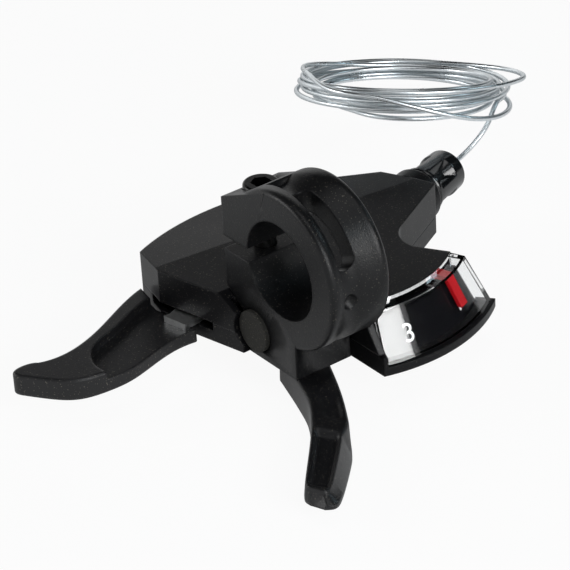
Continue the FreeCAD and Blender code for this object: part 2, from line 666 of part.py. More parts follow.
def holding_post():
    pin = post(HOLD_POST, PIN_DIA / 2, FLOOR_TOP, RATCHET_TOP + POST_PROUD)
    return pin.fuse(post(HOLD_POST, PAWL_HUB, BASE_TOP, SPOOL_TOP - RUN_FIT))


def winding_post():
    pin = post(WIND_POST, PIN_DIA / 2, THUMB_PLATE_TOP - PLATE_THICK, RATCHET_TOP + POST_PROUD)
    return pin.fuse(post(WIND_POST, PAWL_HUB, BASE_TOP + MOVE_GAP, SPOOL_TOP - RUN_FIT))


def release_post():
    top = RELEASE_PLATE_TOP + 2 * CLIP_THICK
    pin = post(RELEASE_PIVOT, PIN_DIA / 2, FLOOR_TOP, top)
    pin = pin.fuse(post(RELEASE_PIVOT, RELEASE_HUB, BASE_TOP, RELEASE_PLATE_TOP - PLATE_THICK - RUN_FIT))
    return pin.fuse(post(RELEASE_PIVOT, PIN_DIA, RELEASE_PLATE_TOP + RUN_FIT, top))


# Cable spool, its toothed plate and the two pawls

def cable_spool():
    floor = GROOVE_RADIUS - WIRE_DIA / 2
    lip = WIRE_DIA / 2 + SEAT_GAP
    bore = AXLE_DIA / 2 + RUN_FIT
    profile = [(bore, SPOOL_BOTTOM), (SPOOL_RADIUS, SPOOL_BOTTOM), (SPOOL_RADIUS, CABLE_Z - 1.4 * lip)]
    profile += [(floor, CABLE_Z - lip), (floor, CABLE_Z + lip), (SPOOL_RADIUS, CABLE_Z + 1.4 * lip)]
    profile += [(SPOOL_RADIUS, SPOOL_TOP), (bore, SPOOL_TOP)]
    body = turned(AXLE, profile, 0, 360)
    body = body.cut(ring(AXLE, HUB_RADIUS + 2.0, HUB_RADIUS, SPOOL_TOP - SPRING_WELL, SPOOL_TOP + 1))
    pocket = Part.makeBox(HEAD_DIA + 4, 12, 2 * SPOOL_THICK, V(-HEAD_DIA / 2, -12, -SPOOL_THICK))
    pocket.rotate(V(0, 0, 0), UP, CABLE_ANGLE)
    pocket.translate(cable_point(-WIRE_DIA))
    body = body.cut(pocket).cut(cable_rod(WIRE_DIA / 2 + SEAT_GAP, -2 * WIRE_DIA, 2 * WIRE_DIA))
    return body.fuse(post(DRIVE_PIN, SMALL_PIN_DIA / 2, SPOOL_TOP - SPRING_WELL, POINTER_TOP))


def ratchet_plate():
    """Ring with two teeth for each pawl; the steep faces look counter-clockwise."""
    wheel = ring(AXLE, RATCHET_ROOT, RATCHET_BORE, SPOOL_TOP, RATCHET_TOP)
    hold = [HOLD_NOSE_ANGLE - TOOTH_LEAD + GEAR_STEP * gear for gear in (1, 2)]
    wind = [WIND_NOSE_ANGLE - TOOTH_LEAD + GEAR_STEP * gear for gear in (0, 1)]
    inner = (RATCHET_BORE + RATCHET_ROOT) / 2
    for steep in hold + wind:
        points = [polar(AXLE, inner, steep), polar(AXLE, RATCHET_TIP, steep)]
        points += [polar(AXLE, RATCHET_TIP, steep - TOOTH_ANGLE / 5), polar(AXLE, inner, steep - TOOTH_ANGLE)]
        wheel = wheel.fuse(prism(points, SPOOL_TOP, RATCHET_TOP))
    return wheel


def pawl(pivot, nose_angle):
    """Flat pawl, drawn lifted clear of the tooth tips."""
    nose = polar(AXLE, RATCHET_TIP + PAWL_LIFT + PAWL_NOSE, nose_angle)
    arm = nose - pivot
    side = V(-arm.y, arm.x, 0).normalize()
    base = side * (0.8 * PAWL_HUB)
    tip = side * PAWL_NOSE
    body = prism([pivot + base, nose + tip, nose - tip, pivot - base], SPOOL_TOP, RATCHET_TOP)
    body = body.fuse(post(nose, PAWL_NOSE, SPOOL_TOP, RATCHET_TOP))
    body = body.fuse(post(pivot, PAWL_HUB, SPOOL_TOP, RATCHET_TOP))
    return body.cut(post(pivot, PIN_DIA / 2 + RUN_FIT, SPOOL_TOP - 1, RATCHET_TOP + 1))


# Gear indicator: lens, dial, and the red pointer that the spool drives at half its angle

def lens_inset(inset):
    """Radius of the line that runs an inset behind the lens's sloping front, by height."""
    foot = LENS_FOOT - inset / math.sin(LENS_LEAN)
    return lambda z: foot - (z - LENS_FOOT_Z) / math.tan(LENS_LEAN)


def lens():
    inside = lens_inset(LENS_WALL)
    behind = lens_inset(LENS_WALL + DIAL_SETBACK)
    under = CEILING
    outer = [(LENS_INNER, TOP_Z), (LENS_SHOULDER, LENS_TOP), (LENS_FOOT, LENS_FOOT_Z)]
    inner = [(inside(LENS_FOOT_Z), LENS_FOOT_Z), (inside(under), under), (LENS_INNER, under)]
    cheek = outer + [(behind(LENS_FOOT_Z), LENS_FOOT_Z), (behind(DIAL_TOP), DIAL_TOP), (LENS_INNER, DIAL_TOP)]
    body = turned(WINDOW, outer + inner, LENS_START, LENS_END)
    return body.fuse(turned(WINDOW, cheek, LENS_END - LENS_CHEEK, LENS_END))


def dial_plate():
    front = lens_inset(LENS_WALL + DIAL_SETBACK)
    rear = lens_inset(LENS_WALL + DIAL_SETBACK + DIAL_THICK)
    under = DIAL_TOP - DIAL_THICK
    inner = LENS_INNER - DIAL_GRIP
    profile = [(inner, DIAL_TOP), (front(DIAL_TOP), DIAL_TOP), (front(FLOOR_TOP), FLOOR_TOP)]
    profile += [(rear(FLOOR_TOP), FLOOR_TOP), (rear(under), under), (inner, under)]
    return turned(WINDOW, profile, LENS_START + 0.6, LENS_END - LENS_CHEEK)


def pointer():
    """Slotted tail on the spool's drive pin, hub, and a blade bent down over the dial."""
    half = POINTER_WIDTH / 2
    tail_half = TAIL_WIDTH / 2
    front = lens_inset(LENS_WALL + (DIAL_SETBACK - POINTER_THICK) / 2)
    rear = lens_inset(LENS_WALL + (DIAL_SETBACK + POINTER_THICK) / 2)
    low = POINTER_Z - POINTER_DROP * math.sin(LENS_LEAN)
    bend = front(POINTER_TOP)
    arm = prism([(0, -half), (bend, -half), (bend, half), (0, half)], POINTER_Z, POINTER_TOP)
    blade = [(rear(POINTER_TOP), POINTER_TOP), (bend, POINTER_TOP), (front(low), low), (rear(low), low)]
    body = arm.fuse(front_prism(blade, -half, half))
    body.rotate(V(0, 0, 0), UP, POINTER_ANGLE)
    pin = SMALL_PIN_DIA / 2
    reach = 2 * CRANK_RADIUS + 2 * pin
    near = 2 * CRANK_RADIUS * math.cos(math.radians(GEAR_STEP / 2)) - 2 * pin
    gap = pin + RUN_FIT
    tail = [(0, -tail_half), (reach, -tail_half), (reach, tail_half), (0, tail_half)]
    tail = prism(tail, POINTER_Z, POINTER_TOP)
    slot = [(near, -gap), (reach + 1, -gap), (reach + 1, gap), (near, gap)]
    tail = tail.cut(prism(slot, POINTER_Z - 1, POINTER_TOP + 1))
    toward = DRIVE_PIN - WINDOW
    tail.rotate(V(0, 0, 0), UP, math.degrees(math.atan2(toward.y, toward.x)))
    body = body.fuse(tail).fuse(post(V(0, 0, 0), POINTER_WIDTH, POINTER_Z, POINTER_TOP))
    body = body.cut(post(V(0, 0, 0), pin + RUN_FIT, POINTER_Z - 1, POINTER_TOP + 1))
    body.translate(WINDOW)
    return body


def pointer_pin():
    pin = SMALL_PIN_DIA / 2
    head = post(WINDOW, 1.5 * pin, POINTER_Z - 0.3, POINTER_Z - RUN_FIT)
    return head.fuse(post(WINDOW, pin, POINTER_Z - RUN_FIT, CEILING + COVER_WALL / 2))


# Thumb lever and release lever: pressed steel plates with moulded grips

def thumb_plate():
    z0 = THUMB_PLATE_TOP - PLATE_THICK
    across = UP.cross(WIND_POST - AXLE).normalize()
    arm = [AXLE + across * 5, AXLE - across * 5, WIND_POST - across * 3, WIND_POST + across * 3]
    blade = [(-31.0, 8.6), (-4.0, -2.4), (11.0, -7.0), (13.4, -4.6), (0.0, 0.8), (-22.0, 18.6)]
    plate = post(AXLE, AXLE_HEAD_DIA / 2 + 1.5, z0, THUMB_PLATE_TOP)
    plate = plate.fuse(prism(arm, z0, THUMB_PLATE_TOP)).fuse(post(WIND_POST, 3.0, z0, THUMB_PLATE_TOP))
    plate = plate.fuse(prism(blade, z0, THUMB_PLATE_TOP))
    plate = plate.cut(post(AXLE, AXLE_DIA / 2 + RUN_FIT, z0 - 1, THUMB_PLATE_TOP + 1))
    return plate.cut(post(WIND_POST, PIN_DIA / 2, z0 - 1, THUMB_PLATE_TOP + 1))


def thumb_flank():
    """Space beside the thumb pad, whose outer wall leans in towards the top."""
    start = V(26.0, -10.2, 0)
    heading = V(0.714, -0.700, 0)
    aside = V(0.700, 0.714, 0)
    low = UP * (THUMB_BOTTOM + LEVER_ROUND)
    high = UP * (THUMB_TOP + LEVER_ROUND)
    reach = aside * 8
    wall = [start + low, start + reach + low, start + reach + high, start - aside * FLANK_LEAN + high]
    return Part.Face(Part.makePolygon(wall + wall[:1])).extrude(heading * 40)


def thumb_lever():
    left = [(-9.0, -2.8), (2.1, -6.5), (9.8, -9.6), (15.6, -13.4), (21.7, -19.7), (31.2, -27.0)]
    tip = [(31.2, -27.0), (34.3, -29.4), (38.9, -29.2), (40.8, -25.5)]
    right = [(40.8, -25.5), (34.2, -18.3), (24.6, -9.6), (17.4, -4.9), (9.0, -0.2), (-4.0, 6.0)]
    edges = [smooth_edge(points, THUMB_BOTTOM) for points in (left, tip, right)]
    edges.append(Part.makeLine(V(-4.0, 6.0, THUMB_BOTTOM), V(-9.0, -2.8, THUMB_BOTTOM)))
    body = extrude(Part.Wire(edges), THUMB_BOTTOM, THUMB_TOP)
    body = rounded(rounded(body, LEVER_ROUND, THUMB_TOP), LEVER_ROUND, THUMB_BOTTOM)
    across = V(0.62, 0.78, 0)
    pad_radius = 26.0
    pad_depth = 1.6
    pad = V(30.5, -20.0, THUMB_TOP + pad_radius - pad_depth)
    body = body.cut(Part.makeCylinder(pad_radius, 40, pad - across * 20, across))
    along = V(0.88, -0.47, 0)
    dimple = V(7.2, -3.3, 0)
    far_dimple = dimple + along * 6.4
    side = V(0.47, 0.88, 0) * 1.9
    z0 = THUMB_TOP - 0.9
    dent = prism([dimple + side, dimple - side, far_dimple - side, far_dimple + side], z0, THUMB_TOP + 1)
    dent = dent.fuse(post(dimple, side.Length, z0, THUMB_TOP + 1))
    dent = dent.fuse(post(far_dimple, side.Length, z0, THUMB_TOP + 1))
    under = prism([(16, -60), (60, -60), (60, 20), (16, 20)], THUMB_BOTTOM - 12, THUMB_BOTTOM)
    under.rotate(V(16, -10, THUMB_BOTTOM), V(0.67, 0.74, 0), -7.0)
    return body.cut(dent).cut(under).cut(thumb_plate()).cut(thumb_flank())


def release_plate():
    """Hub and arm inside the housing, joggled down into the plastic grip."""
    z1 = RELEASE_PLATE_TOP
    z0 = z1 - PLATE_THICK
    drop = RELEASE_DISH - RELEASE_SINK
    arm = [(-34.0, -4.8), (-26.0, -4.8), (-24.9, -12.0), (-24.6, -14.6), (-30.4, -15.8), (-32.0, -12.0)]
    web = [(-30.4, -15.8), (-24.6, -14.6), (-24.4, -16.0), (-30.6, -17.2)]
    tongue = [(-30.4, -15.8), (-24.6, -14.6), (-23.8, -31.0), (-29.0, -31.0)]
    plate = post(RELEASE_PIVOT, RELEASE_HUB, z0, z1).fuse(prism(arm, z0, z1))
    plate = plate.fuse(prism(web, drop - PLATE_THICK, z1)).fuse(prism(tongue, drop - PLATE_THICK, drop))
    return plate.cut(post(RELEASE_PIVOT, PIN_DIA / 2 + RUN_FIT, drop - 9, z1 + 1))


def release_lever():
    left = [(-43.5, -14.2), (-40.3, -22.1), (-36.0, -30.3), (-33.1, -37.4), (-32.1, -43.3), (-33.0, -48.2)]
    tip = [(-33.0, -48.2), (-34.2, -51.4), (-33.4, -54.4), (-30.6, -54.0)]
    right = [(-30.6, -54.0), (-25.7, -50.6), (-21.6, -46.4), (-19.8, -39.3), (-19.8, -34.3), (-21.3, -27.9)]
    right.append((-23.2, -14.0))
    edges = [smooth_edge(points, RELEASE_BOTTOM) for points in (left, tip, right)]
    root = [V(-23.2, -14.0, RELEASE_BOTTOM), V(-36.0, -15.6, RELEASE_BOTTOM), V(-43.5, -14.2, RELEASE_BOTTOM)]
    edges += [Part.makeLine(a, b) for a, b in zip(root, root[1:])]
    body = extrude(Part.Wire(edges), RELEASE_BOTTOM, RELEASE_TOP)
    body = rounded(rounded(body, LEVER_ROUND, RELEASE_TOP), LEVER_ROUND, RELEASE_BOTTOM)
    floor = [(-39.0, -13.0), (-37.2, -20.0), (-33.4, -28.2), (-29.6, -36.6), (-26.4, -39.0), (-17.0, -38.2)]
    far = [V(x, y, RELEASE_DISH) for x, y in ((-17.0, -38.2), (-10.0, -38.2), (-10.0, -13.0), (-39.0, -13.0))]
    edges = [smooth_edge(floor, RELEASE_DISH)] + [Part.makeLine(a, b) for a, b in zip(far, far[1:])]
    dish = extrude(Part.Wire(edges), RELEASE_DISH, RELEASE_TOP + 1)
    return body.cut(dish).cut(release_plate())


# Springs, each a bent wire

def spiral_spring(inner, turns, z, start):
    """Flat coil of half turns whose radius grows by a wire and a gap each turn."""
    edges = []
    centre = AXLE
    radius = inner
    step = (SPRING_WIRE + MOVE_GAP) / 2
    angle = start
    for half in range(2 * turns):
        edges.append(arc_edge(centre, radius, angle, angle + 180, z))
        angle += 180
        centre = centre - polar(V(0, 0, 0), step, angle)
        radius += step
    return bent_wire(edges, SPRING_WIRE)


def spool_spring():
    return spiral_spring(HUB_RADIUS + SPRING_WIRE / 2 + RUN_FIT, 1, SPOOL_TOP - SPRING_WELL / 2, 30.0)


def thumb_spring():
    return spiral_spring(HUB_RADIUS + SPRING_WIRE / 2, 2, (BASE_TOP + SPOOL_BOTTOM) / 2, 200.0)


def hairpin(place, radius, start, sweep, legs, z):
    """Torsion hairpin: a wrap round a post with two straight legs."""
    end = start + sweep
    first = polar(place, radius, start, z)
    last = polar(place, radius, end, z)
    lead_in = polar(V(0, 0, 0), legs[0], start - 90)
    lead_out = polar(V(0, 0, 0), legs[1], end + 90)
    edges = [Part.makeLine(first + lead_in, first), arc_edge(place, radius, start, end, z)]
    return bent_wire(edges + [Part.makeLine(last, last + lead_out)], SPRING_WIRE)


def holding_spring():
    return hairpin(HOLD_POST, PAWL_HUB + SPRING_WIRE / 2, 100.0, 200.0, (3.5, 2.5), CABLE_Z)


def winding_spring():
    return hairpin(WIND_POST, PAWL_HUB + SPRING_WIRE / 2, -62.0, 200.0, (2.5, 2.5), CABLE_Z)


def release_spring():
    z = RELEASE_PLATE_TOP + MOVE_GAP + SPRING_WIRE / 2
    return hairpin(RELEASE_PIVOT, PIN_DIA + SPRING_WIRE / 2, 150.0, 200.0, (4.0, 4.0), z)


# Cable, barrel adjuster and the free end of the cable

def cable_head():
    return cable_rod(HEAD_DIA / 2, -HEAD_LENGTH - WIRE_DIA, -WIRE_DIA)


def cable_run():
    return cable_rod(WIRE_DIA / 2, -WIRE_DIA, KNOB_END)


def adjuster_barrel():
    start = END_WALL - BARREL_THREAD
    end = KNOB_END - SOCKET_DEPTH
    return cable_rod(BARREL_DIA / 2, start, end).cut(cable_rod(BARREL_BORE / 2, start - 1, end + 1))


def friction_ring():
    """Rubber ring round the barrel that keeps the adjuster from turning by itself."""
    section = FRICTION_WIDTH / 2 - RUN_FIT
    place = cable_point(COLLAR_END - FRICTION_DEPTH + RUN_FIT + section)
    return Part.makeTorus((BARREL_DIA + FRICTION_WIDTH) / 2, section, place, CABLE_DIR)


def adjuster_knob():
    body = cable_rod(KNOB_DIA / 2, KNOB_START, KNOB_END)
    body = body.makeChamfer(KNOB_CHAMFER, [e for e in body.Edges if e.Closed])
    middle = cable_point((KNOB_START + KNOB_END) / 2)
    for i in range(4):
        turn = math.radians(45 + 90 * i)
        out = CABLE_SIDE * math.cos(turn) + UP * math.sin(turn)
        across = UP * math.cos(turn) - CABLE_SIDE * math.sin(turn)
        bed = middle + out * (KNOB_DIA / 2 + KNOB_SCOOP * 0.7)
        body = body.cut(Part.makeCylinder(KNOB_SCOOP, 20, bed - across * 10, across))
    body = body.cut(cable_rod(BARREL_DIA / 2, KNOB_START - 1, KNOB_END))
    return body.cut(cable_rod(SOCKET_DIA / 2, KNOB_END - SOCKET_DEPTH, KNOB_END + 1))


def lead_points():
    """The wire's route from the adjuster up into the coil."""
    points = [cable_point(KNOB_END)]
    for along, aside, rise in LEAD_ROUTE:
        points.append(cable_point(KNOB_END + along, aside, rise))
    return points


def cable_lead():
    points = lead_points()
    edges = []
    start = points[0]
    for before, corner, after in zip(points, points[1:], points[2:]):
        inward = before - corner
        outward = after - corner
        half_turn = (math.pi - inward.getAngle(outward)) / 2
        trim = 0.45 * min(inward.Length, outward.Length)
        radius = trim / math.tan(half_turn)
        print("lead radius", round(radius, 1))
        inward.normalize()
        outward.normalize()
        middle = corner + (inward + outward).normalize() * (radius / math.cos(half_turn) - radius)
        first = corner + inward * trim
        last = corner + outward * trim
        edges.append(Part.LineSegment(start, first).toShape())
        edges.append(Part.Arc(first, middle, last).toShape())
        start = last
    edges.append(Part.LineSegment(start, points[-1]).toShape())
    tube = bent_wire(edges, WIRE_DIA)
    plain_volume = math.pi * WIRE_DIA ** 2 / 4 * Part.Wire(edges).Length
    print("lead volume against section times length", round(tube.Volume / plain_volume, 3))
    return tube


def cable_coil():
    right = V(COIL_RIGHT).normalize()
    normal = right.cross(COIL_AWAY).normalize()
    middle = COIL_CENTRE + right * COIL_RADIUS
    major = middle + right * COIL_HALF_WIDTH
    section = Part.Ellipse(major, middle + normal * COIL_HALF_HEIGHT, middle).toShape()
    return Part.Face(Part.Wire([section])).revolve(COIL_CENTRE, normal, 360)


def main():
    os.makedirs("parts", exist_ok=True)
    pieces = {
        "clamp_bracket": clamp_bracket(),
        "clamp_bolt": clamp_bolt(),
        "clamp_nut": clamp_nut(),
        "port_plug": port_plug(),
        "foot_screws": Part.makeCompound([foot_screw(x) for x in FOOT_SCREWS_X]),
        "upper_cover": upper_cover(),
        "lower_cover": lower_cover(),
        "cover_screws": cover_screws(),
        "base_plate": base_plate(),
        "main_axle": main_axle(),
        "axle_clip": axle_clip(),
        "axle_spacer": axle_spacer(),
        "hub_washer": hub_washer(),
        "cable_spool": cable_spool(),
        "ratchet_plate": ratchet_plate(),
        "spool_spring": spool_spring(),
        "holding_pawl": pawl(HOLD_POST, HOLD_NOSE_ANGLE),
        "holding_post": holding_post(),
        "holding_spring": holding_spring(),
        "winding_pawl": pawl(WIND_POST, WIND_NOSE_ANGLE),
        "winding_post": winding_post(),
        "winding_spring": winding_spring(),
        "thumb_lever": thumb_lever(),
        "thumb_plate": thumb_plate(),
        "thumb_spring": thumb_spring(),
        "release_lever": release_lever(),
        "release_plate": release_plate(),
        "release_post": release_post(),
        "release_spring": release_spring(),
        "lens": lens(),
        "dial_plate": dial_plate(),
        "pointer": pointer(),
        "pointer_pin": pointer_pin(),
        "adjuster_knob": adjuster_knob(),
        "adjuster_barrel": adjuster_barrel(),
        "friction_ring": friction_ring(),
        "cable_head": cable_head(),
        "cable_run": cable_run(),
        "cable_lead": cable_lead(),
        "cable_coil": cable_coil(),
    }
    for name, shape in pieces.items():
        shape = shape.removeSplitter()
        print(name, shape.isValid(), len(shape.Solids), round(shape.Volume, 1))
        shape.exportStep("parts/" + name + ".step")


main()
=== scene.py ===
"""Looks of a left-hand bicycle trigger shifter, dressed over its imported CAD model."""

import math

import bmesh
import bpy
from mathutils import Matrix, Vector


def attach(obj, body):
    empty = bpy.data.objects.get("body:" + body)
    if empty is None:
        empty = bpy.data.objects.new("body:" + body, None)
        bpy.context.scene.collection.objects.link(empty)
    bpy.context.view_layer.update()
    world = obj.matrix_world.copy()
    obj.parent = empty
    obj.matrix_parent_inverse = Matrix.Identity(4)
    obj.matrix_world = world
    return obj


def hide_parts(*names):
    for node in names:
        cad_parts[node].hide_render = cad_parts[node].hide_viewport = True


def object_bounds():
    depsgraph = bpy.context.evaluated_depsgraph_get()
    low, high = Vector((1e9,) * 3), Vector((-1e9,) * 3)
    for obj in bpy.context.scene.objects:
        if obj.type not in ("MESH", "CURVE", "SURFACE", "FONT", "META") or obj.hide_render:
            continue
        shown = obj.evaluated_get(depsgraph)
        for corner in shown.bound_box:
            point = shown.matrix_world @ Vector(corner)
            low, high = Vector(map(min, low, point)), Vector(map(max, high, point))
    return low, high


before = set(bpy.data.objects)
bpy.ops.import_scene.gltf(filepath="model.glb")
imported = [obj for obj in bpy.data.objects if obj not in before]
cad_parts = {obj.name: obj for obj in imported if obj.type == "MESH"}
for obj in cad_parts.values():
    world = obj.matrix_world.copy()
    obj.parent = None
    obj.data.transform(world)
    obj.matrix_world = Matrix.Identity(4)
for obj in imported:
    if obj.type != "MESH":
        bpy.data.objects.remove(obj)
cad_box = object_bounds()


# Handlebar clamp.
# One injection-moulded ring with split ears, in black glass-filled nylon with a fine spark-eroded
# grain. It is screwed to the base plate through its foot and pinched on the bar by one bolt.

class Wire:
    """A socket of a node tree. Sums on it add Math nodes, and node() adds any other node."""

    def __init__(self, tree, socket=None):
        self.tree = tree
        self.socket = socket

    def node(self, kind, sockets, settings=None, out=0):
        made = self.tree.nodes.new(kind)
        for name, value in (settings or {}).items():
            setattr(made, name, value)
        for name, value in sockets.items():
            if isinstance(value, Wire):
                self.tree.links.new(value.socket, made.inputs[name])
            else:
                made.inputs[name].default_value = value
        return Wire(self.tree, made.outputs[out] if made.outputs else None)

    def math(self, operation, first, second):
        return self.node("ShaderNodeMath", {0: first, 1: second}, {"operation": operation})

    def __add__(self, other):
        return self.math("ADD", self, other)

    def __mul__(self, other):
        return self.math("MULTIPLY", self, other)

    def __gt__(self, other):
        return self.math("GREATER_THAN", self, other)


CLOUD_SCALE = 90.0
CLOUD_ROUGHNESS = 0.12
DUST_SCALE = 3000.0
DUST_LEVEL = 0.755
DUST_COLOUR = (0.13, 0.12, 0.10, 1.0)
GRAIN_STRENGTH = 0.6


def blend_colours(share, first, second):
    """Colour that runs from the first to the second with a share from 0 to 1."""
    return share.node("ShaderNodeMix", {0: share, 6: first, 7: second}, {"data_type": "RGBA"}, 2)


def new_finish(name):
    """An empty material, a wire in its tree, and the place on the piece."""
    material = bpy.data.materials.new(name)
    material.use_nodes = True
    material.node_tree.nodes.clear()
    tree = Wire(material.node_tree)
    return material, tree, tree.node("ShaderNodeTexCoord", {}, out="Object")


def close_finish(tree, shader):
    """Lead a shader to the material's surface."""
    tree.node("ShaderNodeOutputMaterial", {"Surface": shader})


def noise(place, scale, detail=2.0):
    return place.node("ShaderNodeTexNoise", {"Vector": place, "Scale": scale, "Detail": detail})


def moulded(name, dark, light, roughness, grain, depth, edge, specks=0.0, gloss=0.3):
    """Moulded plastic: cloudy tone, spark-eroded grain, softened edges and a few pale specks."""
    material, tree, place = new_finish(name)
    cloud = noise(place, CLOUD_SCALE)
    dust = noise(place, DUST_SCALE, 0.0)
    colour = blend_colours(cloud, dark, light)
    colour = blend_colours((dust > DUST_LEVEL) * specks, colour, DUST_COLOUR)
    pits = noise(place, grain, 1.0)
    rounded = tree.node("ShaderNodeBevel", {"Radius": edge}, {"samples": 4})
    normal = tree.node("ShaderNodeBump", {
        "Strength": GRAIN_STRENGTH, "Distance": depth, "Height": pits, "Normal": rounded})
    close_finish(tree, tree.node("ShaderNodeBsdfPrincipled", {
        "Base Color": colour, "Roughness": cloud * CLOUD_ROUGHNESS + (roughness - CLOUD_ROUGHNESS / 2),
        "Normal": normal, "Specular IOR Level": gloss}))
    return material


def dress(material, *nodes):
    """Give carried-over CAD pieces their finish."""
    for node in nodes:
        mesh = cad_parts[node].data
        mesh.materials.clear()
        mesh.materials.append(material)


clamp_finish = moulded("clamp_nylon", (0.0035, 0.0036, 0.004, 1), (0.007, 0.0072, 0.008, 1), roughness=0.38,
                       grain=3200.0, depth=0.00006, edge=0.0005, specks=0.4, gloss=0.24)

# the CAD bracket's groove runs on through its foot; the foot is closed here up to its own faces, in
# metres, and opened again for the base plate's tongue and the two countersunk screws
FOOT_LOW = (-0.0082, -0.0056, -0.025)
FOOT_HIGH = (0.004, 0.0066, -0.0150)
TONGUE_LOW = (-0.01077, -0.00227, -0.02352)
TONGUE_HIGH = (0.00177, 0.012, -0.02213)
FOOT_SCREWS = [(-0.0076, 0.0015), (-0.0014, 0.0015)]
SCREW_HOLE = [(0.00283, -0.0251), (0.00283, -0.02497), (0.00153, -0.02358), (0.00153, -0.01697)]
SCREW_HOLE_SIDES = 40
MERGE_DISTANCE = 1e-7


def link(name, data):
    """An object in the scene with this data."""
    made = bpy.data.objects.new(name, data)
    bpy.context.scene.collection.objects.link(made)
    return made


def as_object(shape, name):
    """An object in the scene with a finished bmesh as its mesh."""
    mesh = bpy.data.meshes.new(name)
    shape.to_mesh(mesh)
    shape.free()
    return link(name, mesh)


def worked_out(made):
    """The mesh that an object's modifiers, text or curve come to."""
    bpy.context.view_layer.update()
    graph = bpy.context.evaluated_depsgraph_get()
    return bpy.data.meshes.new_from_object(made.evaluated_get(graph))


def skin(shape, rings):
    """Faces between each ring of corners and the next."""
    around = len(rings[0])
    for here, there in zip(rings, rings[1:]):
        for corner in range(around):
            following = (corner + 1) % around
            shape.faces.new((here[corner], here[following], there[following], there[corner]))


def block(low, high, name):
    """A box between two corners."""
    low, high = Vector(low), Vector(high)
    shape = bmesh.new()
    size = Matrix.Diagonal((*(high - low), 1.0))
    bmesh.ops.create_cube(shape, size=1.0, matrix=Matrix.Translation((low + high) / 2) @ size)
    return as_object(shape, name)


def spindle(x, y, profile, sides, name):
    """A closed solid of revolution on an upright axis, from radius and height pairs going up."""
    shape = bmesh.new()
    turns = [2 * math.pi * step / sides for step in range(sides)]
    rings = [[shape.verts.new((x + radius * math.cos(turn), y + radius * math.sin(turn), height))
              for turn in turns] for radius, height in profile]
    skin(shape, rings)
    shape.faces.new(rings[0][::-1])
    shape.faces.new(rings[-1])
    return as_object(shape, name)


def combine(body, tool, operation):
    """Join a tool to a solid or cut it out; the tool is used up."""
    step = body.modifiers.new(operation, "BOOLEAN")
    step.operation = operation
    step.solver = "EXACT"
    step.object = tool
    body.data = worked_out(body)
    body.modifiers.clear()
    bpy.data.objects.remove(tool)


def finish_piece(piece, body, node, finish, sharp):
    """Give a piece that stands for a CAD node its shading and finish, hang it on its body and hide the node."""
    piece.data.materials.clear()
    piece.data.materials.append(finish)
    piece.data.shade_smooth()
    piece.data.set_sharp_from_angle(angle=math.radians(sharp))
    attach(piece, body)
    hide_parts(node)


moulding = bmesh.new()
moulding.from_mesh(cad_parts["clamp_bracket"].data)
bmesh.ops.remove_doubles(moulding, verts=moulding.verts, dist=MERGE_DISTANCE)
clamp_body = as_object(moulding, "clamp_body")
combine(clamp_body, block(FOOT_LOW, FOOT_HIGH, "foot"), "UNION")
combine(clamp_body, block(TONGUE_LOW, TONGUE_HIGH, "tongue_room"), "DIFFERENCE")
for spot in FOOT_SCREWS:
    combine(clamp_body, spindle(*spot, SCREW_HOLE, SCREW_HOLE_SIDES, "screw_hole"), "DIFFERENCE")
finish_piece(clamp_body, "housing", "clamp_bracket", clamp_finish, sharp=30)


# Clamp bolt and its captive nut.
# A cylinder-head hexagon-socket screw in blackened steel, drawn up in a plain zinc-plated nut that
# sits in a pocket of the lower ear.

METAL = {"Metallic": 1.0}


def mottled(name, dark, light, roughness, spread, scale, detail=2.0, fixed=None):
    """A finish with one fine pattern in its tone and its roughness; its other values are fixed."""
    material, tree, place = new_finish(name)
    marks = noise(place, scale, detail)
    close_finish(tree, tree.node("ShaderNodeBsdfPrincipled", {
        "Base Color": blend_colours(marks, dark, light), "Roughness": marks * spread + roughness,
        **(fixed or {})}))
    return material


bolt_finish = mottled("blackened_steel", (0.015, 0.015, 0.015, 1), (0.05, 0.05, 0.05, 1), roughness=0.25,
                      spread=0.2, scale=900.0, detail=3.0, fixed=METAL)
dress(bolt_finish, "clamp_bolt")
zinc_finish = mottled("zinc_plate", (0.42, 0.43, 0.43, 1), (0.66, 0.67, 0.67, 1), roughness=0.22,
                      spread=0.2, scale=900.0, detail=3.0, fixed=METAL)
dress(zinc_finish, "clamp_nut")


# Plug of the cable port.
# A push-in disc of grey-black plastic with a coarse matt face. It is pulled out to thread a new
# cable through the spool.

plug_finish = moulded("plug_plastic", (0.018, 0.018, 0.016, 1), (0.03, 0.029, 0.026, 1), roughness=0.7,
                      grain=2200.0, depth=0.00015, edge=0.0003, specks=0.6, gloss=0.15)
dress(plug_finish, "port_plug")


# Case.
# Two black moulded shells that meet on one level, with sloped flanks and a wing for the gear window.
# Four screws from below close them on the base plate.

case_finish = moulded("case_plastic", (0.0025, 0.0025, 0.003, 1), (0.005, 0.005, 0.006, 1), roughness=0.34,
                      grain=3600.0, depth=0.00003, edge=0.0005, specks=0.45, gloss=0.18)
dress(case_finish, "upper_cover", "lower_cover")
dress(zinc_finish, "cover_screws", "foot_screws")


# Pressed and turned steel inside the case, and the adjuster's barrel.
# Base plate, axle, washers, posts, toothed plate and pawls, blanked or turned from steel and zinc
# plated.

dress(zinc_finish, "base_plate", "main_axle", "axle_spacer", "hub_washer", "holding_post", "winding_post",
      "release_post", "ratchet_plate", "holding_pawl", "winding_pawl", "thumb_plate", "release_plate",
      "pointer_pin", "adjuster_barrel")


# Springs.
# Bent from drawn spring wire; the clip is stamped from the same steel.

spring_finish = mottled("spring_wire", (0.28, 0.28, 0.28, 1), (0.5, 0.5, 0.49, 1), roughness=0.3, spread=0.2,
                        scale=2500.0, detail=3.0, fixed=METAL)
dress(spring_finish, "axle_clip", "spool_spring", "thumb_spring", "holding_spring", "winding_spring",
      "release_spring")


# Cable spool.
# A grey acetal moulding that turns on the axle and carries the toothed plate.

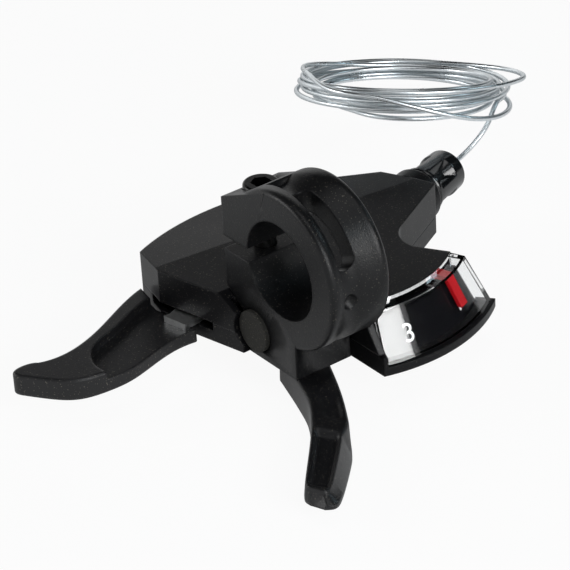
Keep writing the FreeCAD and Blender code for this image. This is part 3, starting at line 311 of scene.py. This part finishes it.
spool_finish = moulded("spool_acetal", (0.30, 0.30, 0.28, 1), (0.38, 0.38, 0.36, 1), roughness=0.45,
                       grain=2500.0, depth=0.00003, edge=0.0003)
dress(spool_finish, "cable_spool")


# Levers.
# Black plastic paddles moulded over the ends of the two steel lever plates, smoother than the case.
# The thumb's paddle is drawn again here, with its dished pad, finger pocket and leaning outer wall.

lever_finish = moulded("lever_plastic", (0.005, 0.005, 0.0058, 1), (0.009, 0.009, 0.010, 1), roughness=0.38,
                       grain=3000.0, depth=0.00004, edge=0.0007, specks=0.6, gloss=0.38)
dress(lever_finish, "release_lever")

# plan of the thumb lever in mm, both edges from its root to its tip, at the foot of its walls
THUMB_LEFT = [(-9.0, -2.8), (2.1, -6.5), (9.8, -9.6), (16.6, -14.2), (21.9, -18.6), (31.2, -27.0),
              (34.3, -29.4), (36.4, -29.7)]
THUMB_RIGHT = [(-4.0, 6.0), (9.0, -0.2), (17.4, -4.9), (24.6, -9.6), (29.4, -13.8), (38.1, -22.7),
               (40.5, -26.2), (39.7, -28.4)]
LEVER_HEADING = Vector((0.74, -0.67))
THUMB_TOP = -26.4
THUMB_FOOT = -33.2
THUMB_ROUND = 0.9
THUMB_INSET = 0.2
FOOT_BEND = Vector((16.0, -10.0))
FOOT_RISE = math.tan(math.radians(7.0))
TIP_SPAN = 2.2
# places along the lever count its spans from the root, places across it run from 0 left to 1 right;
# four numbers are where a hollow starts, reaches its depth, leaves it and ends
THUMB_LEAN = 1.7
WALL_LEANS = (2.5, 3.4)
WALL_FADES = (5.8, 7.0)
WALL_FADE = 0.7
TIP_LEANS = (5.2, 7.0)
PAD_DEPTH = 1.3
PAD_ALONG = (3.1, 3.5, 5.1, 5.45)
PAD_ACROSS = (0.05, 0.24, 0.82, 0.97)
POCKET_DEPTH = 0.95
POCKET_ALONG = (1.1, 2.0, 2.3, 2.65)
POCKET_ACROSS = (0.24, 0.55, 0.78, 0.9)
STATIONS_PER_SPAN = 18
ACROSS = [0.0, 0.015, 0.04, 0.08, 0.12, 0.16, 0.2, 0.25, 0.31, 0.38, 0.45, 0.52, 0.59, 0.66, 0.73, 0.79,
          0.84, 0.88, 0.92, 0.96, 0.985, 1.0]


def ramp(value, start, end):
    """Smooth step from 0 at start to 1 at end."""
    share = min(max((value - start) / (end - start), 0.0), 1.0)
    return share * share * (3 - 2 * share)


def hollow(value, start, deep, leaving, end):
    """Smooth rise from 0 at start to 1 between deep and leaving, and back to 0 at end."""
    return ramp(value, start, deep) * (1 - ramp(value, leaving, end))


def along(points, place):
    """Place on a smooth line through points, counted in spans from the first."""
    span = min(int(place), len(points) - 2)
    t = place - span
    picked = [Vector(points[min(max(span + i, 0), len(points) - 1)]) for i in (-1, 0, 1, 2)]
    first, here, there, last = picked
    return here + (there - first) * (t / 2) + (first * 2 - here * 5 + there * 4 - last) * (t * t / 2) + (
        here * 3 - first - there * 3 + last) * (t ** 3 / 2)


def edge_drop(distance):
    """How far a rounded edge lies below its face, at a distance in from the wall."""
    short = max(THUMB_ROUND - distance, 0.0)
    return THUMB_ROUND - math.sqrt(THUMB_ROUND ** 2 - short ** 2)


paddle = bmesh.new()
sections = []
spans = len(THUMB_LEFT) - 1
for station in range(spans * STATIONS_PER_SPAN + 1):
    place = station / STATIONS_PER_SPAN
    left, right = along(THUMB_LEFT, place), along(THUMB_RIGHT, place)
    leftward = (left - right).normalized()
    setback = LEVER_HEADING * (-THUMB_LEAN * ramp(place, *TIP_LEANS))
    wall_lean = THUMB_LEAN * ramp(place, *WALL_LEANS) * (1 - WALL_FADE * ramp(place, *WALL_FADES))
    left_top = left - leftward * THUMB_INSET + setback
    right_top = right + leftward * (THUMB_INSET + wall_lean) + setback
    top_width = (right_top - left_top).length
    past_bend = ((left + right) / 2 - FOOT_BEND).dot(LEVER_HEADING)
    foot = THUMB_FOOT + max(past_bend, 0.0) * FOOT_RISE
    tip_drop = edge_drop((spans - place) * TIP_SPAN)
    pad = PAD_DEPTH * hollow(place, *PAD_ALONG)
    pocket = POCKET_DEPTH * hollow(place, *POCKET_ALONG)
    loop = [(*left, foot), (*left, foot + THUMB_ROUND)]
    for share in ACROSS:
        z = THUMB_TOP - edge_drop(min(share, 1 - share) * top_width) - tip_drop
        z -= pad * hollow(share, *PAD_ACROSS) + pocket * hollow(share, *POCKET_ACROSS)
        loop.append((*left_top.lerp(right_top, share), z))
    loop += [(*right, foot + THUMB_ROUND), (*right, foot)]
    sections.append([paddle.verts.new(Vector(point) / 1000.0) for point in loop])
skin(paddle, sections)
paddle.faces.new(sections[0])
paddle.faces.new(sections[-1][::-1])
bmesh.ops.recalc_face_normals(paddle, faces=paddle.faces)
finish_piece(as_object(paddle, "thumb_paddle"), "thumb", "thumb_lever", lever_finish, sharp=40)


# Gear dial with its numerals.
# A polished black plate behind the window, with pad-printed white numbers along its sloping band.

WINDOW_AXIS = Vector((-0.022, 0.0195, 0.0))
BAND_LEAN = math.atan2(10.3, 5.6)
BAND_FOOT = 0.034544
BAND_FOOT_Z = -0.023
NUMERAL_SIZE = 0.00588
NUMERAL_Z = -0.0203
INK_THICKNESS = 0.00004
INK_LIFT = 0.00006

dial_finish = mottled("dial_black", (0.002, 0.002, 0.0025, 1), (0.006, 0.006, 0.007, 1), roughness=0.06,
                      spread=0.12, scale=700.0, detail=4.0, fixed={"Specular IOR Level": 0.25})
dress(dial_finish, "dial_plate")
numeral_ink = mottled("numeral_white", (0.78, 0.78, 0.77, 1), (0.9, 0.9, 0.89, 1), roughness=0.35, spread=0.1,
                      scale=2600.0)


def numeral(text, angle):
    """A printed number on the sloping band of the dial, a hair proud of it."""
    curve = bpy.data.curves.new("numeral_" + text, "FONT")
    curve.body = text
    curve.size = NUMERAL_SIZE
    curve.align_x = "CENTER"
    curve.align_y = "CENTER"
    curve.extrude = INK_THICKNESS
    lettering = link("numeral_shape", curve)
    mesh = worked_out(lettering)
    bpy.data.objects.remove(lettering)
    turn = math.radians(angle)
    radius = BAND_FOOT - (NUMERAL_Z - BAND_FOOT_Z) / math.tan(BAND_LEAN) + INK_LIFT
    outward = Vector((math.cos(turn), math.sin(turn), 0.0))
    across = Vector((-math.sin(turn), math.cos(turn), 0.0))
    rise = -outward * math.cos(BAND_LEAN) + Vector((0, 0, 1)) * math.sin(BAND_LEAN)
    spot = WINDOW_AXIS + outward * radius + Vector((0, 0, NUMERAL_Z))
    mesh.transform(Matrix((across, rise, across.cross(rise))).transposed().to_4x4())
    mesh.transform(Matrix.Translation(spot))
    mesh.materials.clear()
    mesh.materials.append(numeral_ink)
    piece = link("numeral_" + text, mesh)
    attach(piece, "housing")


numeral("1", 23.2)
numeral("3", -4.2)


# Pointer.
# A bright red moulded blade on a pin, bent down over the dial; the spool swings it half as far as it
# turns.

pointer_finish = mottled("pointer_red", (0.28, 0.002, 0.005, 1), (0.36, 0.004, 0.008, 1), roughness=0.3,
                         spread=0.1, scale=350.0, fixed={"Specular IOR Level": 0.25})
dress(pointer_finish, "pointer")


# Window lens.
# Clear moulded acrylic, snapped into the wing's bevelled opening, with a shoulder along the top and
# a thick polished cheek at its far end. Its edges are softened.

lens_finish, tree, place = new_finish("clear_acrylic")
wipe = noise(place, 500.0, 3.0)
glass = tree.node("ShaderNodeBsdfPrincipled", {
    "Base Color": (0.97, 0.98, 0.98, 1.0), "Roughness": wipe * 0.06, "Transmission Weight": 1.0, "IOR": 1.49})
clear = tree.node("ShaderNodeBsdfTransparent", {})
shadow = tree.node("ShaderNodeLightPath", {}, out="Is Shadow Ray")
close_finish(tree, tree.node("ShaderNodeMixShader", {0: shadow, 1: glass, 2: clear}))

LENS_START = -17.02
CHEEK_START = 34.4
LENS_END = 36.2
LENS_STEPS = 60
LENS_EDGE = 0.0002
LENS_EDGE_ANGLE = 25
# radius and height in mm round the section, from the top's inner edge over the front to the inside
FACE = [(29.4, -12.2), (32.7, -12.7), (38.3, -23.0)]
SHELL_INSIDE = [(36.934, -23.0), (31.878, -13.7), (29.4, -13.7)]
CHEEK_INSIDE = [(34.544, -23.0), (30.521, -15.6), (29.4, -15.6)]


def lens_point(radius, height, degrees):
    turn = math.radians(degrees)
    return WINDOW_AXIS + Vector((radius * math.cos(turn), radius * math.sin(turn), height)) / 1000.0


pane = bmesh.new()
rows = []
for step in range(LENS_STEPS + 1):
    degrees = LENS_START + (CHEEK_START - LENS_START) * step / LENS_STEPS
    rows.append([pane.verts.new(lens_point(*corner, degrees)) for corner in FACE + SHELL_INSIDE])
shell = rows[-1]
cheek = shell[:3] + [pane.verts.new(lens_point(*corner, CHEEK_START)) for corner in CHEEK_INSIDE]
closing = [pane.verts.new(lens_point(*corner, LENS_END)) for corner in FACE + CHEEK_INSIDE]
pane.faces.new(rows[0])
for here, there in [*zip(rows, rows[1:]), (cheek, closing)]:
    for corner in range(len(shell)):
        nearby = (corner + 1) % len(shell)
        pane.faces.new((here[corner], there[corner], there[nearby], here[nearby]))
pane.faces.new((shell[2], cheek[3], shell[3]))
for corner in (3, 4):
    pane.faces.new((shell[corner], cheek[corner], cheek[corner + 1], shell[corner + 1]))
pane.faces.new((shell[5], cheek[5], shell[0]))
pane.faces.new(closing[::-1])
bmesh.ops.recalc_face_normals(pane, faces=pane.faces)
pane_shape = as_object(pane, "lens_pane")
soften = pane_shape.modifiers.new("edge", "BEVEL")
soften.width = LENS_EDGE
soften.segments = 2
soften.limit_method = "ANGLE"
soften.angle_limit = math.radians(LENS_EDGE_ANGLE)
lens_mesh = worked_out(pane_shape)
bpy.data.objects.remove(pane_shape)
finish_piece(link("window_lens", lens_mesh), "housing", "lens", lens_finish, sharp=35)


# Cable adjuster.
# A four-lobed polished black knob, drawn again here with its four closed scoops, on a plated threaded
# barrel; a rubber ring keeps it from turning by itself.

knob_finish = moulded("knob_plastic", (0.004, 0.0045, 0.005, 1), (0.007, 0.008, 0.009, 1), roughness=0.12,
                      grain=2500.0, depth=0.00001, edge=0.0004, gloss=0.6)

# the knob's axis, and places along it and radii in mm
CABLE_TURN = math.radians(19.5)
CABLE_DIR = Vector((-math.sin(CABLE_TURN), math.cos(CABLE_TURN), 0.0))
CABLE_SIDE = Vector((math.cos(CABLE_TURN), math.sin(CABLE_TURN), 0.0))
CABLE_START = Vector((-27.6, 14.0, -18.8)) + CABLE_SIDE * 9.5
KNOB_START = 41.7
KNOB_END = 54.7
KNOB_RADIUS = 5.6
KNOB_TAPER = 0.5
TAPER_START = 44.0
START_CHAMFER = 0.9
END_CHAMFER = 1.0
KNOB_BORE = 2.5
SOCKET_RADIUS = 2.6
SOCKET_FLOOR = KNOB_END - 5.0
KNOB_ROWS = 66
KNOB_COLUMNS = 160
# each scoop's depth, the places of its two end walls, and its side wall in degrees from its middle
SCOOP_DEPTH = 1.7
SCOOP_STARTS = (43.4, 44.8)
SCOOP_ENDS = (48.0, 50.4)
SCOOP_SIDE = (11.0, 28.0)
SCOOP_PITCH = 90.0


def slope(value, start, end):
    """Straight ramp from 0 at start to 1 at end."""
    return min(max((value - start) / (end - start), 0.0), 1.0)


def knob_radius(place, degrees):
    """Outside of the knob: chamfered ends, a slight taper and four closed scoops between its lobes."""
    radius = KNOB_RADIUS - KNOB_TAPER * slope(place, TAPER_START, KNOB_END)
    radius -= START_CHAMFER * (1 - slope(place, KNOB_START, KNOB_START + START_CHAMFER))
    radius -= END_CHAMFER * slope(place, KNOB_END - END_CHAMFER, KNOB_END)
    aside = abs(degrees % SCOOP_PITCH - SCOOP_PITCH / 2)
    lengthwise = min(slope(place, *SCOOP_STARTS), 1 - slope(place, *SCOOP_ENDS))
    return radius - SCOOP_DEPTH * min(lengthwise, 1 - slope(aside, *SCOOP_SIDE))


places = [KNOB_START + (KNOB_END - KNOB_START) * row / KNOB_ROWS for row in range(KNOB_ROWS + 1)]
outline = [(KNOB_START, KNOB_BORE)] + [(place, None) for place in places]
outline += [(KNOB_END, SOCKET_RADIUS), (SOCKET_FLOOR, SOCKET_RADIUS), (SOCKET_FLOOR, KNOB_BORE)]
knob = bmesh.new()
rings = []
for place, fixed in outline:
    ring = []
    for column in range(KNOB_COLUMNS):
        degrees = 360.0 * column / KNOB_COLUMNS
        radius = fixed or knob_radius(place, degrees)
        turn = math.radians(degrees)
        spot = CABLE_START + CABLE_DIR * place + CABLE_SIDE * (radius * math.cos(turn))
        spot.z += radius * math.sin(turn)
        ring.append(knob.verts.new(spot / 1000.0))
    rings.append(ring)
skin(knob, rings + rings[:1])
bmesh.ops.recalc_face_normals(knob, faces=knob.faces)
finish_piece(as_object(knob, "scooped_knob"), "adjuster", "adjuster_knob", knob_finish, sharp=24)
rubber_finish = moulded("ring_rubber", (0.012, 0.012, 0.012, 1), (0.02, 0.02, 0.02, 1), roughness=0.8,
                        grain=3000.0, depth=0.00005, edge=0.0002)
dress(rubber_finish, "friction_ring")


# Inner cable.
# Galvanised steel wire, twisted from strands, 1.2 mm thick. It leaves the adjuster, and its loose end
# lies wound in nine springy turns that fan out; the last crosses their front and is tucked in behind.

CABLE_DIAMETER = 0.0012
STRANDS = 9
STRAND_DEPTH = 0.09
STRAND_LAY = 0.0065
OUTLINE_CORNERS = 18
RING_STEP = 0.0003
LEAD = [(-0.036904, 0.068733, -0.0188), (-0.038240, 0.072504, -0.0188), (-0.038778, 0.077618, -0.0172),
        (-0.039294, 0.083270, -0.0138), (-0.042139, 0.088309, -0.0103)]
COIL_CENTRE = Vector((-0.06443, 0.07798, -0.01092))
COIL_RIGHT = Vector((0.608, 0.792, -0.052)).normalized()
COIL_AWAY = Vector((-0.7716, 0.5744, -0.2743)).normalized()
COIL_UP = COIL_RIGHT.cross(COIL_AWAY)
# angle in degrees, radius and height in mm where the lead runs into the first turn
COIL_START = (-27.8, 24.53, -1.44)
# radius and height of each turn, at the back and at the front of the coil
BACK, FRONT = 90.0, 270.0
TURNS_BACK = [(26.0, -1.3), (26.1, 1.6), (21.0, 0.6), (24.4, -0.5), (24.3, 1.6), (22.2, -0.9), (21.0, -1.5),
              (23.2, -0.9), (21.8, 1.1)]
TURNS_FRONT = [(25.6, -0.6), (22.3, 3.2), (22.5, -0.3), (25.6, 3.4), (22.0, 1.4), (22.6, -3.4), (21.8, -1.7),
               (25.1, 1.2)]
# angle, radius and height along the last turn
LAST_TURN = [(195.0, 24.0, 4.8), (240.0, 27.1, 2.9), (325.0, 26.5, -4.3), (380.0, 25.4, -3.4),
             (450.0, 25.2, -2.4)]
POINTS_PER_STATION = 8
# a loop that strays out at the right, and one that cuts in across the left: angle from the coil's
# start, spread in degrees and reach
STRAYS = [(4 * 360.0 + 8.0, 32.0, 5.5), (5 * 360.0 + 218.0, 30.0, -5.0)]

stations = [COIL_START]
for turn, (behind, before) in enumerate(zip(TURNS_BACK, TURNS_FRONT)):
    stations += [(BACK + 360.0 * turn, *behind), (FRONT + 360.0 * turn, *before)]
whole_turns = 360.0 * len(TURNS_FRONT)
stations.append((BACK + whole_turns, *TURNS_BACK[-1]))
stations += [(degrees + whole_turns, radius, height) for degrees, radius, height in LAST_TURN]
route = [Vector(point) for point in LEAD]
for here, there in zip(stations, stations[1:]):
    for step in range(1, POINTS_PER_STATION + 1):
        share = step / POINTS_PER_STATION
        ease = (1 - math.cos(math.pi * share)) / 2
        degrees = here[0] + (there[0] - here[0]) * share
        radius = here[1] + (there[1] - here[1]) * ease
        height = here[2] + (there[2] - here[2]) * ease
        radius += sum(reach * math.exp(-((degrees - at) / spread) ** 2) for at, spread, reach in STRAYS)
        angle = math.radians(degrees)
        spot = COIL_RIGHT * (radius * math.cos(angle)) + COIL_AWAY * (radius * math.sin(angle))
        route.append(COIL_CENTRE + (spot + COIL_UP * height) / 1000.0)

curve = bpy.data.curves.new("cable_route", "CURVE")
curve.dimensions = "3D"
spline = curve.splines.new("NURBS")
spline.points.add(len(route) - 1)
for point, spot in zip(spline.points, route):
    point.co = (*spot, 1.0)
spline.order_u = 3
spline.use_endpoint_u = True
spline.resolution_u = 6
line = link("cable_route", curve)
path_mesh = worked_out(line)
bpy.data.objects.remove(line)

wire_finish, tree, place = new_finish("galvanised_wire")
zinc = noise(place, 1800.0, 3.0)
patches = noise(place, 160.0, 2.0)
close_finish(tree, tree.node("ShaderNodeBsdfPrincipled", {
    "Base Color": blend_colours(zinc, (0.64, 0.69, 0.72, 1), (0.86, 0.90, 0.92, 1)), "Metallic": 1.0,
    "Roughness": patches * 0.15 + 0.22}))

strand_tree = bpy.data.node_groups.new("twisted_strands", "GeometryNodeTree")
ports = strand_tree.interface
settings = {"Diameter": CABLE_DIAMETER, "Strands": float(STRANDS), "Lay": STRAND_LAY}
ports.new_socket("Route", in_out="INPUT", socket_type="NodeSocketGeometry")
keys = [ports.new_socket(name, in_out="INPUT", socket_type="NodeSocketFloat").identifier for name in settings]
ports.new_socket("Cable", in_out="OUTPUT", socket_type="NodeSocketGeometry")
given = strand_tree.nodes.new("NodeGroupInput")
tree = Wire(strand_tree)
route_in, diameter_in, strands_in, lay_in = [Wire(strand_tree, given.outputs[i]) for i in range(4)]
wire_line = tree.node("GeometryNodeMeshToCurve", {"Mesh": route_in})
wire_line = tree.node("GeometryNodeResampleCurve", {"Curve": wire_line, "Length": RING_STEP}, {"mode": "LENGTH"})
twist = tree.node("GeometryNodeInputIndex", {}) * (2 * math.pi * RING_STEP)
twist = tree.math("DIVIDE", twist, lay_in)
wire_line = tree.node("GeometryNodeSetCurveTilt", {"Curve": wire_line, "Tilt": twist})
circle = tree.node("GeometryNodeCurvePrimitiveCircle", {
    "Resolution": OUTLINE_CORNERS, "Radius": diameter_in * 0.5})
corner_at = tree.node("GeometryNodeInputPosition", {})
corner_x = tree.node("ShaderNodeSeparateXYZ", {0: corner_at}, out="X")
corner_y = tree.node("ShaderNodeSeparateXYZ", {0: corner_at}, out="Y")
bearing = tree.math("ARCTAN2", corner_y, corner_x) * strands_in
lobes = tree.math("COSINE", bearing, 0.0) * (STRAND_DEPTH / 2) + (1 - STRAND_DEPTH / 2)
lobed = tree.node("ShaderNodeVectorMath", {0: corner_at, "Scale": lobes}, {"operation": "SCALE"})
circle = tree.node("GeometryNodeSetPosition", {"Geometry": circle, "Position": lobed})
strands = tree.node("GeometryNodeCurveToMesh", {
    "Curve": wire_line, "Profile Curve": circle, "Fill Caps": True})
strands = tree.node("GeometryNodeSetShadeSmooth", {"Geometry": strands})
strands = tree.node("GeometryNodeRealizeInstances", {"Geometry": strands})
strands = tree.node("GeometryNodeSetMaterial", {"Geometry": strands, "Material": wire_finish})
tree.node("NodeGroupOutput", {0: strands})

winding = link("cable_winding", path_mesh)
modifier = winding.modifiers.new("strands", "NODES")
modifier.node_group = strand_tree
for key, value in zip(keys, settings.values()):
    modifier[key] = value
cable_mesh = worked_out(winding)
bpy.data.objects.remove(winding)
cable_mesh.materials.clear()
cable_mesh.materials.append(wire_finish)
cable = link("inner_cable", cable_mesh)
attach(cable, "housing")
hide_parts("cable_lead", "cable_coil")
dress(wire_finish, "cable_run", "cable_head")


# Studio.
# A pale floor under the lowest lever, soft lamps on both sides and above, black cloth overhead and at
# the right, and a long lens at the photograph's angle.

FLOOR_Z = cad_box[0].z - 0.0005
FLOOR_REACH = 3
FLOOR_SEEN = 0.93
FLOOR_MIRRORED = 0.35
ROOM_LIGHT = 0.4
WHITE = (1, 1, 1, 1)
CASE_MIDDLE = (0.0, 0.01, -0.01)
ADJUSTER_SIDE = (-0.03, 0.06, -0.01)
LEVER_SIDE = (-0.02, 0.0, -0.01)
CLOTH_RADIUS = 2.5
CLOTH_COLUMNS = 24
CLOTH_ROWS = 8
# the camera's angle of view, from the picture's half width and the focal length in pixels
HALF_VIEW = math.atan(285 / 2893)
CAMERA_PLACE = (0.4201, -0.3089, 0.3047)
CAMERA_RIGHT = Vector((0.6081, 0.7922, -0.0515)).normalized()
CAMERA_BACK = Vector((0.6972, -0.5020, 0.5118)).normalized()


def ray(tree, kind):
    """1 for rays of a kind and 0 for the others."""
    return tree.node("ShaderNodeLightPath", {}, out="Is %s Ray" % kind)


floor_mesh = bpy.data.meshes.new("floor")
corners = [(-1, -1), (1, -1), (1, 1), (-1, 1)]
floor_mesh.from_pydata([(x * FLOOR_REACH, y * FLOOR_REACH, FLOOR_Z) for x, y in corners], [], [(0, 1, 2, 3)])
floor = link("floor", floor_mesh)
floor_finish, tree, place = new_finish("floor_paper")
fibre = noise(place, 40.0)
paper = tree.node("ShaderNodeBsdfPrincipled", {
    "Base Color": blend_colours(fibre, (0.88, 0.88, 0.88, 1), (0.92, 0.92, 0.92, 1)), "Roughness": 0.9})
glow = tree.node("ShaderNodeEmission", {"Color": WHITE, "Strength": 1.0})
shown = tree.math("MAXIMUM", ray(tree, "Camera"), ray(tree, "Transmission")) * FLOOR_SEEN
shown = tree.math("MAXIMUM", shown, ray(tree, "Glossy") * FLOOR_MIRRORED)
close_finish(tree, tree.node("ShaderNodeMixShader", {0: shown, 1: paper, 2: glow}))
floor_mesh.materials.append(floor_finish)

world = bpy.data.worlds.new("studio")
bpy.context.scene.world = world
world.use_nodes = True
world.node_tree.nodes.clear()
tree = Wire(world.node_tree)
shown = tree.math("MAXIMUM", ray(tree, "Camera"), ray(tree, "Glossy"))
shown = tree.math("MAXIMUM", shown, ray(tree, "Transmission"))
room = tree.node("ShaderNodeBackground", {"Color": WHITE, "Strength": ROOM_LIGHT})
bright = tree.node("ShaderNodeBackground", {"Color": WHITE, "Strength": 1.0})
tree.node("ShaderNodeOutputWorld", {"Surface": tree.node("ShaderNodeMixShader", {0: shown, 1: room, 2: bright})})


def lamp(name, place, target, size, power, colour=(1.0, 1.0, 1.0)):
    """A rectangular soft lamp that faces a point."""
    light = bpy.data.lights.new(name, "AREA")
    light.shape = "RECTANGLE"
    light.size, light.size_y = size
    light.energy = power
    light.color = colour
    made = link(name, light)
    made.location = place
    made.rotation_euler = (Vector(target) - Vector(place)).to_track_quat("-Z", "Y").to_euler()


lamp("right_softbox", (0.905, 0.055, 0.41), CASE_MIDDLE, size=(0.62, 0.36), power=5.9)
lamp("camera_lamp", (0.72, -0.17, 0.62), ADJUSTER_SIDE, size=(0.26, 0.26), power=1.3, colour=(0.86, 0.95, 1.0))
lamp("window_lamp", (0.26, 0.85, 0.50), ADJUSTER_SIDE, size=(0.25, 0.25), power=0.7, colour=(0.70, 0.90, 1.0))
lamp("top_softbox", (0.15, -0.1, 1.1), CASE_MIDDLE, size=(0.7, 0.7), power=2.2)
lamp("left_softbox", (-0.6, -0.75, 0.35), LEVER_SIDE, size=(0.4, 0.4), power=3.0)

cloth_finish, tree, place = new_finish("black_cloth")
weave = noise(place, 60.0)
close_finish(tree, tree.node("ShaderNodeBsdfPrincipled", {
    "Base Color": blend_colours(weave, (0.01, 0.01, 0.01, 1), (0.02, 0.02, 0.02, 1)), "Roughness": 1.0,
    "Specular IOR Level": 0.0}))


def cloth(name, low, high, start, end):
    """A panel of black cloth round the set, between two heights and two bearings, out of the picture."""
    points = []
    for row in range(CLOTH_ROWS + 1):
        rise = math.radians(low + (high - low) * row / CLOTH_ROWS)
        for column in range(CLOTH_COLUMNS + 1):
            turn = math.radians(start + (end - start) * column / CLOTH_COLUMNS)
            level = CLOTH_RADIUS * math.cos(rise)
            points.append((level * math.cos(turn), level * math.sin(turn), CLOTH_RADIUS * math.sin(rise)))
    across = CLOTH_COLUMNS + 1
    faces = []
    for row in range(CLOTH_ROWS):
        for column in range(CLOTH_COLUMNS):
            first = row * across + column
            faces.append((first, first + 1, first + across + 1, first + across))
    mesh = bpy.data.meshes.new(name)
    mesh.from_pydata(points, [], faces)
    mesh.materials.append(cloth_finish)
    made = link(name, mesh)
    made.visible_camera = False


cloth("cloth_overhead", 24.0, 90.0, 0.0, 360.0)
cloth("cloth_right", -2.0, 24.0, 25.0, 115.0)

bpy.context.scene.view_settings.view_transform = "Standard"
camera_data = bpy.data.cameras.new("camera")
camera_data.angle = 2 * HALF_VIEW
camera = link("camera", camera_data)
upward = CAMERA_BACK.cross(CAMERA_RIGHT).normalized()
facing = Matrix((upward.cross(CAMERA_BACK), upward, CAMERA_BACK)).transposed().to_4x4()
camera.matrix_world = Matrix.Translation(CAMERA_PLACE) @ facing
bpy.context.scene.camera = camera
